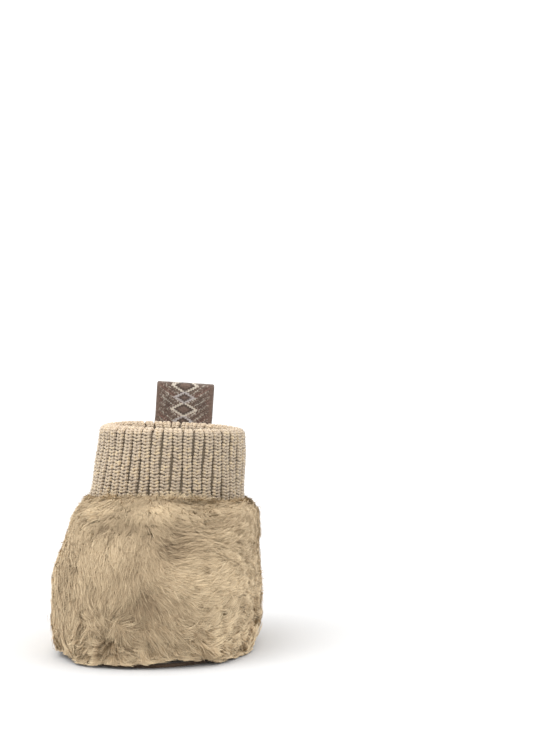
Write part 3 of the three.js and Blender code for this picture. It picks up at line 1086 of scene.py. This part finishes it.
def cuff_surface(place, way, depth=0.0):
    """A point of the cuff: place is the share of the way round it, and way the length along its
    section. It leans to one side as it rises, and its rim waves a little."""
    inset, tall, length = cuff_profile()
    here = np.interp(way, length, inset)
    up = np.interp(way, length, tall)
    slope_in = np.interp(way + 0.2, length, inset) - np.interp(way - 0.2, length, inset)
    slope_up = np.interp(way + 0.2, length, tall) - np.interp(way - 0.2, length, tall)
    size = np.maximum(np.hypot(slope_in, slope_up), 1e-6)
    here = here + depth * slope_up / size
    up = up - depth * slope_in / size
    angle = arc_angles(place)
    x, y = oval(angle, here)
    rise = np.clip((up - ANKLE_HEIGHT) / (RIM_HEIGHT - ANKLE_HEIGHT), 0, 1.2)
    left = np.clip(-np.sin(angle), 0, 1)
    x = x + CUFF_LEAN * rise - CUFF_FLARE * left * (1 - np.clip(rise, 0, 1)) ** 2.5
    behind = np.clip(-np.cos(angle), 0, 1)
    level = 0.9 + 0.9 * behind - RIM_TILT * np.sin(angle)
    up = up + rise * (0.35 * ripple(x, y, 0, 40, 21) + level)
    swell = 0.5 * np.sin(math.pi * np.clip(rise, 0, 1)) * ripple(x, y, up, 30, 22)
    return np.stack([x + swell * np.sin(angle), y - swell * np.cos(angle), up], axis=-1)


def knit_material():
    """Cotton yarn of two plies: a pale twist over a warm ground, with soft fibres in its grooves,
    stitches paler or duller than their neighbours, and painted light on the rim's top."""
    paint = Paint("rib_yarn")
    colour = tuple(colours().knit)
    round_, along = paint.mapped("Weave")
    ply = (along * 2.0 + round_ * 2.0).wave(1.0)
    fuzz = paint.noise(1500, 3)
    broad = paint.noise(60, 2)
    tint = paint.mix(ply, shade(colour, 0.78), shade(colour, 1.12))
    tint = paint.mix(fuzz.step(0.35, 0.7) * 0.35, tint, shade(colour, 0.7))
    tint = paint.mix(broad.step(0.35, 0.65) * 0.25, tint, shade(colour, 1.15))
    stitch = paint.noise(650, 1)
    tint = paint.mix(stitch.step(0.5, 0.68) * 0.55, tint, tinted(colour, 1.32, 1.27, 1.06))
    tint = paint.mix(stitch.step(0.5, 0.3) * 0.5, tint, tinted(colour, 0.62, 0.58, 0.58))
    _, _, tall = paint.split(paint.place())
    # Painted light on the top of the folded rim, where the light from above falls.
    rim = tall.step((RIM_HEIGHT - 2.2) * MM, (RIM_HEIGHT + 0.6) * MM)
    tint = paint.mix(rim * 0.45, tint, tinted(colour, 1.5, 1.45, 1.42))
    height = ply * 0.7 + fuzz * 0.3
    return done(
        paint, colour=tint, roughness=0.85, relief=(height, 0.00022), sheen=0.3, specular=0.2
    )


def knit_ground_material():
    """The purl side between the ribs, painted dark as the shade that falls between them."""
    paint = Paint("rib_ground")
    colour = tuple(colours().knit)
    grain = paint.noise(1200, 3)
    tint = paint.mix(grain, shade(colour, 0.42), shade(colour, 0.68))
    return done(paint, colour=tint, roughness=0.95, relief=(grain, 0.0003), specular=0.1)


class BOOTIE_OT_cuff(bpy.types.Operator):
    """Knit the rib cuff stitch by stitch"""

    bl_idname = "bootie.cuff"
    bl_label = "Rib cuff"

    def execute(self, context):
        draw = np.random.default_rng(CUFF_SEED)
        ribs, pitch = sizes().rib_count, sizes().stitch_pitch / MM
        whole = cuff_profile()[2][-1]
        rows = int(whole / pitch)
        rib, row, leg = (
            a.ravel() for a in np.meshgrid(np.arange(ribs), np.arange(rows), [-1, 1], indexing="ij")
        )
        girth = TURN * math.sqrt((CUFF_HALF_WIDTH**2 + CUFF_HALF_DEPTH**2) / 2)
        rib_pitch = girth / ribs
        half = RIB_SHARE * rib_pitch
        wander = 0.3 * np.sin(row * 0.27 + rib * 1.7)
        jitter = draw.normal(0, 0.11, len(rib))
        middle_place = (rib + 0.5) / ribs
        way = (row + 0.5) * pitch + draw.normal(0, 0.085, len(rib))

        def spot(across, up, depth):
            place = middle_place + (across * leg + wander) / girth
            return cuff_surface(place, way + up, depth)

        start = spot(half * 1.03 + jitter, 0.42 * pitch, 1.15)
        middle = spot(half * 0.52, 0.06 * pitch, 0.48)
        end = spot(half * -0.12, -0.36 * pitch, 0.55)
        inward = spot(half * 0.52, 0.06 * pitch, 2.0)
        side = np.cross(end - start, middle - inward)
        radius = 0.55 * pitch * draw.uniform(0.84, 1.12, len(rib))
        points, quads, tris, uv = spindle_batch(start, middle, end, side, radius)
        yarn = build_mesh("cuff_stitches", points, quads, tris, uv)
        finish_piece(yarn, knit_material(), nodes=["rib_cuff"])

        place = np.linspace(0, 1, 4 * ribs, endpoint=False)[:, None]
        along = np.linspace(0, whole, GROUND_ROWS)[None]
        outer = cuff_surface(place, along, 1.6 + 0.6 * np.cos(place * ribs * TURN))
        ground = closed_sheet("cuff_ground", outer, cuff_surface(place, along, 2.7), wrap=True)
        finish_piece(ground, knit_ground_material())
        return {"FINISHED"}


# ---- Pull tab ------------------------------------------------------------------------------------

TAB_THICKNESS = 0.9
PICK = 0.56  # from one weft thread of the ribbon to the next
WARP = 0.5  # from one warp thread to the next
SMALL_HALF, SMALL_WIDE = 2.25, 3.9  # half the height and half the width of a small diamond
LARGE_HALF, LARGE_WIDE = 2.95, 5.3  # the same of a large one
FIRST = 3.7  # the motif's shift along the ribbon at the fold
TAB_LEAN = math.radians(3.6)  # how far the tab leans to the right
TAB_STEPS, TAB_COLUMNS = 170, 72


def tab_material():
    """Jacquard ribbon: a chain of pale diamonds down the middle, herringbone rays to both sides and
    plain selvedges. The map is in millimetres, across the ribbon and along it."""
    paint = Paint("jacquard_ribbon")
    ground = tuple(colours().ribbon)
    figure = tuple(colours().figure)
    across, along = paint.mapped("Weave")
    pick, warp = along.wave(PICK), across.wave(WARP)
    along, across = along.size().math("SNAP", PICK), across.size().math("SNAP", PICK * 0.6)
    way = (along + FIRST).zigzag(SMALL_HALF + LARGE_HALF)
    small_edge = (SMALL_HALF - way) * (SMALL_WIDE / SMALL_HALF)
    large_edge = (way - SMALL_HALF) * (LARGE_WIDE / LARGE_HALF)
    edge = across - small_edge.most(large_edge)
    line = 1 - edge.size().step(0.75, 1.0)
    inside = 1 - edge.step(-0.9, -0.7)
    heart = 1 - edge.step(-3.0, -2.7)
    field = edge.step(0.7, 0.9) * (1 - across.step(10.6, 10.9))
    slant = along + across * 0.72
    dark_rays = slant.zigzag(0.8).step(0.45, 0.6) * field
    pale_rays = (slant + 0.8).zigzag(1.6).step(1.2, 1.35) * field
    red_rays = (slant + 0.3).zigzag(3.2).step(1.9, 2.4) * field
    lozenge = ((along - 9.2).size() * 0.9 + (across - 7.2).size()).step(3.6, 2.2) * field
    grain = paint.noise(1300, 2, 0.6)
    tint = paint.mix(red_rays * 0.6, ground, tinted(ground, 1.35, 0.92, 0.9))
    tint = paint.mix(lozenge * 0.7, tint, shade(ground, 0.42))
    tint = paint.mix(dark_rays * 0.85, tint, shade(ground, 0.24))
    pale_share = (1 - across.step(4.0, 10.5) * 0.6) * grain.step(0.58, 0.42) * 0.9
    tint = paint.mix(pale_rays * pale_share, tint, figure)
    tint = paint.mix(inside, tint, shade(ground, 0.42))
    tint = paint.mix(heart * 0.6, tint, shade(ground, 1.5))
    tint = paint.mix(grain.step(0.44, 0.6) * 0.55, tint, shade(ground, 0.42))
    tint = paint.mix((1 - pick * warp) * 0.32, tint, shade(ground, 0.36))
    tint = paint.mix(grain.step(0.45, 0.32) * 0.45 * field, tint, shade(figure, 0.62))
    large = way.step(SMALL_HALF, SMALL_HALF + 0.3)
    chain = paint.mix(large, tinted(figure, 0.66, 0.68, 0.80), shade(figure, 0.9))
    chain = paint.mix((1 - pick) * 0.3 + grain.step(0.48, 0.62) * 0.35, chain, ground)
    tint = paint.mix(line * 0.92, tint, chain)
    height = pick * 0.5 + warp * 0.25 + line * 0.6 + pale_rays * 0.3
    return done(
        paint, colour=tint, roughness=0.6, relief=(height, 0.00025), sheen=0.3, specular=0.35
    )


def tab_path():
    """The middle of the ribbon as a line of y and z with its length: up the outside, over the loop
    and down the inside, both ends together at the seam."""
    low, top = TAB_LOW[2] - 1.0, TAB_HIGH[2]
    half = (TAB_HIGH[1] - TAB_LOW[1] - TAB_THICKNESS) / 2
    middle = (TAB_HIGH[1] + TAB_LOW[1]) / 2
    loop = half + 0.25
    height = np.linspace(0, 1, 60)
    tall = low + (top - TAB_THICKNESS / 2 - loop - low) * height
    open_ = 0.5 + (half - 0.5) * np.clip(height * 5, 0, 1)
    open_ = open_ + 0.25 * np.clip(height * 2 - 1, 0, 1) ** 2
    turn = np.linspace(0, math.pi, 22)[1:-1]
    y = np.concatenate([middle + open_, middle + loop * np.cos(turn), (middle - open_)[::-1]])
    z = np.concatenate([tall, tall[-1] + loop * np.sin(turn), tall[::-1]])
    return y, z, np.concatenate([[0], np.cumsum(np.hypot(np.diff(y), np.diff(z)))])


class BOOTIE_OT_tab(bpy.types.Operator):
    """Fold the woven pull tab"""

    bl_idname = "bootie.tab"
    bl_label = "Pull tab"

    def execute(self, context):
        y, z, length = tab_path()
        way = np.linspace(0, length[-1], TAB_STEPS)
        wide = (TAB_HIGH[0] - TAB_LOW[0]) / 2
        across = np.linspace(-wide, wide, TAB_COLUMNS)
        ys, zs = np.interp(way, length, y), np.interp(way, length, z)
        flat = np.zeros_like(ys)
        tangent = unit(np.stack([flat, np.gradient(ys), np.gradient(zs)], axis=-1))
        normal = np.stack([flat, tangent[:, 2], -tangent[:, 1]], axis=-1)

        def face(offset):
            """One face of the ribbon: ribbed by its weft, thin at its selvedges, waved a little and
            leaning to the right."""
            u, v = np.meshgrid(across, np.arange(len(way)), indexing="ij")
            points = np.stack([u, ys[v], zs[v]], axis=-1)
            pick = 0.05 * np.sin(way[v] * TURN / PICK)
            edge = np.clip((wide - np.abs(u)) / 0.5, 0, 1) ** 0.5
            depth = offset * (0.25 + 0.75 * edge) + np.sign(offset) * pick
            points = points + normal[v] * depth[..., None]
            rise = points[..., 2] - HINGE_Z
            turn = TAB_LEAN * fade(rise, 0, 30)
            x, y, tall = axes(points)
            y = y + 0.25 * np.sin(u * 0.16 + 0.6) * fade(rise, 0, 40)
            return np.stack([x + np.sin(turn) * rise, y, tall - np.sin(turn) * x], axis=-1)

        outer, inner = face(TAB_THICKNESS / 2), face(-TAB_THICKNESS / 2)
        tab = closed_sheet("tab_ribbon", outer, inner)
        map_sheet(tab, *np.meshgrid(across, way - length[-1] / 2, indexing="ij"))
        finish_piece(tab, tab_material(), body=None, nodes=["pull_tab"])
        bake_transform(tab)
        return {"FINISHED"}


# ---- Seams and label -----------------------------------------------------------------------------

ANKLE_STITCHES = 92
TAB_STITCHES = 10  # on either face of the ribbon
FLOAT_PITCH = 0.24  # from one thread of the satin to the next

class BOOTIE_OT_seams(bpy.types.Operator):
    """Sew the seams of the fur and the lining, the ankle and the tab"""

    bl_idname = "bootie.seams"
    bl_label = "Seams"

    def execute(self, context):
        layers = [
            ("fur", fur_surface, SKIN_DEPTH + 0.5),
            ("lining", lining_surface, LINING_DEPTH - 0.1),
        ]
        seams = [("left", -SEAM_ANGLE), ("right", SEAM_ANGLE), ("heel", math.pi)]
        for layer, surface, depth in layers:
            for seam, angle in seams:
                node = f"{layer}_seam_thread_{seam}"
                seam_stitches(f"{layer}_stitches_{seam}", surface, angle, depth, [node])

        ankle_low, ankle_high = span("ankle_seam_thread")
        spots = arc_angles((np.arange(ANKLE_STITCHES) + 0.5) / ANKLE_STITCHES)
        height = (ankle_low[2] + ankle_high[2]) / 2

        def ankle_spot(place, lift):
            x, y = oval(spots + 0.02 * place, CUFF_WALL / 2 + 0.9 * place)
            return at_height(x, y, height + 0.25 - 0.35 * abs(place) + lift)

        stitches("ankle_stitches", ankle_spot, len(spots), THREAD_RADIUS, ["ankle_seam_thread"])

        across = np.tile(np.linspace(-1, 1, TAB_STITCHES) * (TAB_HIGH[0] - 1.6), 2)
        face = np.repeat([-1, 1], TAB_STITCHES)

        def tab_spot(place, lift):
            away = 0.5 + TAB_THICKNESS / 2 + 0.12 - 0.25 * abs(place) + lift
            x = across + 0.85 * place
            return at_height(x, HINGE_Y + face * away, HINGE_Z + 0.1 * place)

        stitches("tab_stitches", tab_spot, len(across), 0.3, ["pull_tab_thread"])
        return {"FINISHED"}


def satin_material():
    """Satin label: fine level floats over a pale ground, with a woven border and no lettering."""
    paint = Paint("label_satin")
    colour = (0.80, 0.76, 0.68)
    across, along = paint.mapped("Weave")
    floats = along.wave(FLOAT_PITCH)
    grain = paint.noise(1600, 2)
    border = across.size().step(6.1, 6.25) * (1 - across.size().step(6.55, 6.7))
    tint = paint.mix(floats * 0.25 + grain * 0.15, colour, shade(colour, 0.72))
    tint = paint.mix(border * 0.7, tint, shade(tuple(colours().ribbon), 1.2))
    return done(
        paint, colour=tint, roughness=0.38, relief=(floats, 0.00006), sheen=0.1, specular=0.5
    )


class BOOTIE_OT_label(bpy.types.Operator):
    """Sew the blank care label in behind the lining's heel"""

    bl_idname = "bootie.label"
    bl_label = "Care label"

    def execute(self, context):
        low, high = span("care_label")
        wide, tall = high[0] - low[0], high[2] - low[2]
        u, v = np.meshgrid(np.linspace(-0.5, 0.5, 31), np.linspace(0, 1, 33), indexing="ij")
        curve = 0.5 * v**2 * np.sin(u * math.pi + 0.5) + 0.35 * np.sin(v * math.pi)

        def face(offset):
            away = low[1] + 0.1 - curve + offset
            return np.stack([u * wide, away, high[2] - v * tall], axis=-1)

        label = closed_sheet("care_label_satin", face(0.15), face(-0.15))
        map_sheet(label, u * wide, v * tall)
        finish_piece(label, satin_material(), nodes=["care_label"])
        return {"FINISHED"}


# ---- Sole ----------------------------------------------------------------------------------------

SOLE_INSET = 4.0  # the sole's edge inside the foot's outline
STITCH_INSET = 6.5  # the row of stitches inside the foot's outline
SOLE_STITCH_PITCH = 3.2
# The groove's section, in towards the outline: insets from the row of stitches, and heights.
GROOVE = [(1.2, 0.0), (0.62, 0.05), (0.5, 0.9), (0.0, 1.1), (-0.5, 0.9), (-0.62, 0.05), (-1.2, 0.0)]
PLATE_RINGS, PLATE_STEPS = 14, 160
PAD_ROUND = 1.2  # the radius of the pads' edges
PAD_INSET = HEM_TUCK + CLEARANCE
PAD_VOXEL = 1.3
PAD_FRAMES = 20
PAD_PRESSURE = 4.0
PAD_SPREAD = 0.2  # how far the simulation may spread a pad's edge, in millimetres
FOAM_RISE, COVER_RISE = 0.2, 0.8  # how far it may raise the foam and its cover

def plate(name, inset, low, high, round_, groove=()):
    """A plate in the foot's outline with rounded edges: closed rings that shrink to the middle on
    both faces. The lower face may be cut by the groove that the stitches lie in."""
    angle = np.linspace(0, TURN, PLATE_STEPS, endpoint=False)
    turn = np.linspace(-math.pi / 2, math.pi / 2, 7)
    middle, half = (low + high) / 2, (high - low) / 2
    shares = np.linspace(0.02, 1, PLATE_RINGS) ** 0.8
    flat_inset = STITCH_INSET + 1.5 if groove else inset + round_
    rows = [(share, flat_inset, low) for share in shares[:-1]]
    rows += [(1, STITCH_INSET + across, low + tall) for across, tall in groove]
    for t in turn:
        tall = middle + (half - round_) * np.sign(np.sin(t)) + round_ * math.sin(t)
        rows.append((1, inset + round_ - round_ * math.cos(t), tall))
    rows += [(share, inset + round_, high) for share in shares[:-1][::-1]]
    points = []
    for share, edge, tall in rows:
        x, y = outline(angle, edge)
        points.append(at_height(x * share, y * share, tall))
    points = np.array(points)
    low_cap, high_cap = points[0].mean(0), points[-1].mean(0)
    count = len(angle)
    flat = np.concatenate([points.reshape(-1, 3), [low_cap, high_cap]])
    quads = grid_faces(len(rows), count, False, True)
    j = np.arange(count)
    last = (len(rows) - 1) * count
    lows = np.stack([(j + 1) % count, j, np.full(count, len(flat) - 2)], axis=-1)
    highs = np.stack([last + j, last + (j + 1) % count, np.full(count, len(flat) - 1)], axis=-1)
    return build_mesh(name, flat, quads, np.concatenate([lows, highs]))


def suede_material():
    """Suede: a short napped leather with fine pores and brushed patches."""
    paint = Paint("suede")
    colour = tuple(colours().suede)
    nap = paint.noise(1100, 5, 0.7)
    brushed = paint.noise(45, 3, 0.5, stretch=(1, 0.5, 1))
    tint = paint.mix(nap.step(0.3, 0.72), shade(colour, 0.65), shade(colour, 1.45))
    tint = paint.mix(brushed.step(0.4, 0.62) * 0.4, tint, shade(colour, 1.7))
    return done(
        paint, colour=tint, roughness=0.92, relief=(nap, 0.00018), sheen=0.4, specular=0.15
    )


def foam_material():
    """Open-cell padding, full of small pores."""
    paint = Paint("padding")
    sockets = {"Vector": paint.place(), "Scale": 900.0}
    cells = paint.node("ShaderNodeTexVoronoi", sockets)
    tint = paint.mix(cells.step(0.0, 0.6), (0.45, 0.41, 0.34), (0.78, 0.73, 0.64))
    return done(paint, colour=tint, roughness=0.95, relief=(cells, 0.0003))


def thread_material():
    """Sewing thread: two plies twisted round each other, with a silky gloss."""
    paint = Paint("sewing_thread")
    colour = tuple(colours().thread)
    round_, along = paint.mapped("Weave")
    ply = (along * 3.0 + round_).wave(1.0)
    tint = paint.mix(ply, shade(colour, 0.6), shade(colour, 1.25))
    return done(
        paint, colour=tint, roughness=0.5, relief=(ply, 0.00008), sheen=0.2, specular=0.4
    )


def evaluated_mesh(piece):
    """The piece's mesh with its modifiers applied."""
    ready = piece.evaluated_get(bpy.context.evaluated_depsgraph_get())
    return bpy.data.meshes.new_from_object(ready)


def puff(piece, most):
    """Blow a pad up as cloth: an even mesh from small voxels swells under pressure without gravity.
    Its swelling is then scaled so that its highest point rises by the most in millimetres, no point
    sinks, and none spreads sideways by more than PAD_SPREAD."""
    remesh = piece.modifiers.new("even", "REMESH")
    remesh.mode, remesh.voxel_size = "VOXEL", PAD_VOXEL * MM
    remesh.use_smooth_shade = True
    even = evaluated_mesh(piece)
    piece.modifiers.clear()
    piece.data = even
    rest = np.zeros(len(even.vertices) * 3, np.float32)
    even.vertices.foreach_get("co", rest)
    cloth = piece.modifiers.new("pad", "CLOTH")
    cloth.settings.use_pressure = True
    cloth.settings.uniform_pressure_force = PAD_PRESSURE
    cloth.settings.effector_weights.gravity = 0.0
    cloth.point_cache.frame_end = PAD_FRAMES
    scene = bpy.context.scene
    for frame_number in range(1, PAD_FRAMES + 1):
        scene.frame_set(frame_number)
    moved = evaluated_mesh(piece)
    swollen = np.zeros_like(rest)
    moved.vertices.foreach_get("co", swollen)
    piece.modifiers.clear()
    scene.frame_set(1)
    move = (swollen - rest).reshape(-1, 3)
    move[:, :2] = np.clip(move[:, :2], -PAD_SPREAD * MM, PAD_SPREAD * MM)
    move[:, 2] = np.clip(move[:, 2], 0, None)
    move[:, 2] *= min(1.0, most * MM / max(move[:, 2].max(), 1e-9))
    even.vertices.foreach_set("co", rest + move.ravel())
    even.update()
    bpy.data.meshes.remove(moved)


class BOOTIE_OT_sole(bpy.types.Operator):
    """Cut the outsole, its stitching and the padded insole"""

    bl_idname = "bootie.sole"
    bl_label = "Sole"

    def execute(self, context):
        sole = plate("sole_suede", SOLE_INSET, SOLE_LOW[2], SOLE_HIGH[2], 0.6, groove=GROOVE)
        finish_piece(sole, suede_material(), nodes=["outsole"])

        turn = np.linspace(0, TURN, 720)
        line = at_height(*outline(turn, STITCH_INSET), 0.0)
        spots, way = even_spots(line, SOLE_STITCH_PITCH)

        def sole_spot(place, lift):
            here = np.interp(spots + 0.4 * SOLE_STITCH_PITCH * place, way, turn)
            return at_height(*outline(here, STITCH_INSET), 0.4 + 0.4 * abs(place) - lift)

        stitches("sole_stitches", sole_spot, len(spots), 0.36, ["outsole_stitching"])
        low, high = span("insole_foam")
        foam = plate("insole_padding", PAD_INSET, low[2], high[2], PAD_ROUND)
        low, high = span("insole_cover")
        cover = plate("insole_fleece", PAD_INSET, low[2], high[2], PAD_ROUND)
        puff(foam, FOAM_RISE)
        puff(cover, COVER_RISE)
        finish_piece(foam, foam_material(), nodes=["insole_foam"])
        finish_piece(cover, shared("fleece", fleece_material), nodes=["insole_cover"])
        return {"FINISHED"}


# ---- Stage ---------------------------------------------------------------------------------------

SKY_STRENGTH = 1.25
FLOOR_REACH, FLOOR_POINTS = 3000.0, 13
LENS, SENSOR = 81.1, 36
# Each light's tilt from straight above, its turn about the vertical and its width, in degrees, and
# its strength.
LIGHTS = {"key": (38, -50, 45, 0.85), "top": (4, 0, 100, 0.45)}

def soft_sun(name, tilt, turn, wide, power):
    """A broad even light, tilted from straight above towards the front and turned about the
    vertical, as wide as an angle in the sky."""
    data = bpy.data.lights.new(name, "SUN")
    data.angle, data.energy = math.radians(wide), power
    lamp = bpy.data.objects.new(name, data)
    bpy.context.scene.collection.objects.link(lamp)
    lamp.rotation_euler = (math.radians(tilt), 0, math.radians(turn))


class BOOTIE_OT_stage(bpy.types.Operator):
    """Lay the floor, hang the lights and set up the camera"""

    bl_idname = "bootie.stage"
    bl_label = "Stage"

    def execute(self, context):
        scene = context.scene
        scene.view_settings.view_transform = "Standard"
        world = bpy.data.worlds.new("studio")
        world.use_nodes = True
        sky = world.node_tree.nodes["Background"].inputs
        sky["Color"].default_value = (1, 1, 1, 1)
        sky["Strength"].default_value = SKY_STRENGTH
        scene.world = world

        side = np.linspace(-FLOOR_REACH, FLOOR_REACH, FLOOR_POINTS)
        points = at_height(*np.meshgrid(side, side, indexing="ij"), 0.0).reshape(-1, 3)
        floor = build_mesh("floor", points, grid_faces(FLOOR_POINTS, FLOOR_POINTS)[:, ::-1])
        matt = done(Paint("pale_floor"), colour=(0.74, 0.74, 0.74), roughness=0.9, specular=0.0)
        floor.data.materials.append(matt)
        for name, light in LIGHTS.items():
            soft_sun(name, *light)

        size = sizes()
        turn = size.view_turn
        ahead = np.array([-math.sin(turn), math.cos(turn), 0])
        aside = np.array([math.cos(turn), math.sin(turn), 0])
        ankle = np.array([0, ANKLE_Y * MM, 0])
        place = ankle - ahead * size.view_distance + aside * size.view_aside
        place[2] = size.view_height
        data = bpy.data.cameras.new("camera")
        data.lens, data.sensor_width = LENS, SENSOR
        camera = bpy.data.objects.new("camera", data)
        scene.collection.objects.link(camera)
        camera.location = place
        camera.rotation_euler = (math.pi / 2, 0, turn)
        scene.camera = camera
        return {"FINISHED"}


# ---- Panel and registration ----------------------------------------------------------------------

OPERATORS = (
    BOOTIE_OT_stage,
    BOOTIE_OT_fur,
    BOOTIE_OT_lining,
    BOOTIE_OT_cuff,
    BOOTIE_OT_tab,
    BOOTIE_OT_sole,
    BOOTIE_OT_seams,
    BOOTIE_OT_label,
)


class BOOTIE_PT_panel(bpy.types.Panel):
    """Sizes, colours and steps of the bootie"""

    bl_idname = "BOOTIE_PT_panel"
    bl_label = "Baby bootie"
    bl_space_type = "VIEW_3D"
    bl_region_type = "UI"
    bl_category = "Bootie"

    def draw(self, context):
        for group in (context.scene.bootie_sizes, context.scene.bootie_colours):
            for key in group.__annotations__:
                self.layout.prop(group, key)
        for operator in OPERATORS:
            self.layout.operator(operator.bl_idname)


CLASSES = (BootieSizes, BootieColours, *OPERATORS, BOOTIE_PT_panel)


def register():
    for cls in CLASSES:
        bpy.utils.register_class(cls)
    bpy.types.Scene.bootie_sizes = bpy.props.PointerProperty(type=BootieSizes)
    bpy.types.Scene.bootie_colours = bpy.props.PointerProperty(type=BootieColours)


def unregister():
    del bpy.types.Scene.bootie_sizes
    del bpy.types.Scene.bootie_colours
    for cls in reversed(CLASSES):
        bpy.utils.unregister_class(cls)


def main():
    register()
    for operator in OPERATORS:
        getattr(bpy.ops.bootie, operator.bl_idname.split(".")[1])()


if __name__ == "__main__":
    main()
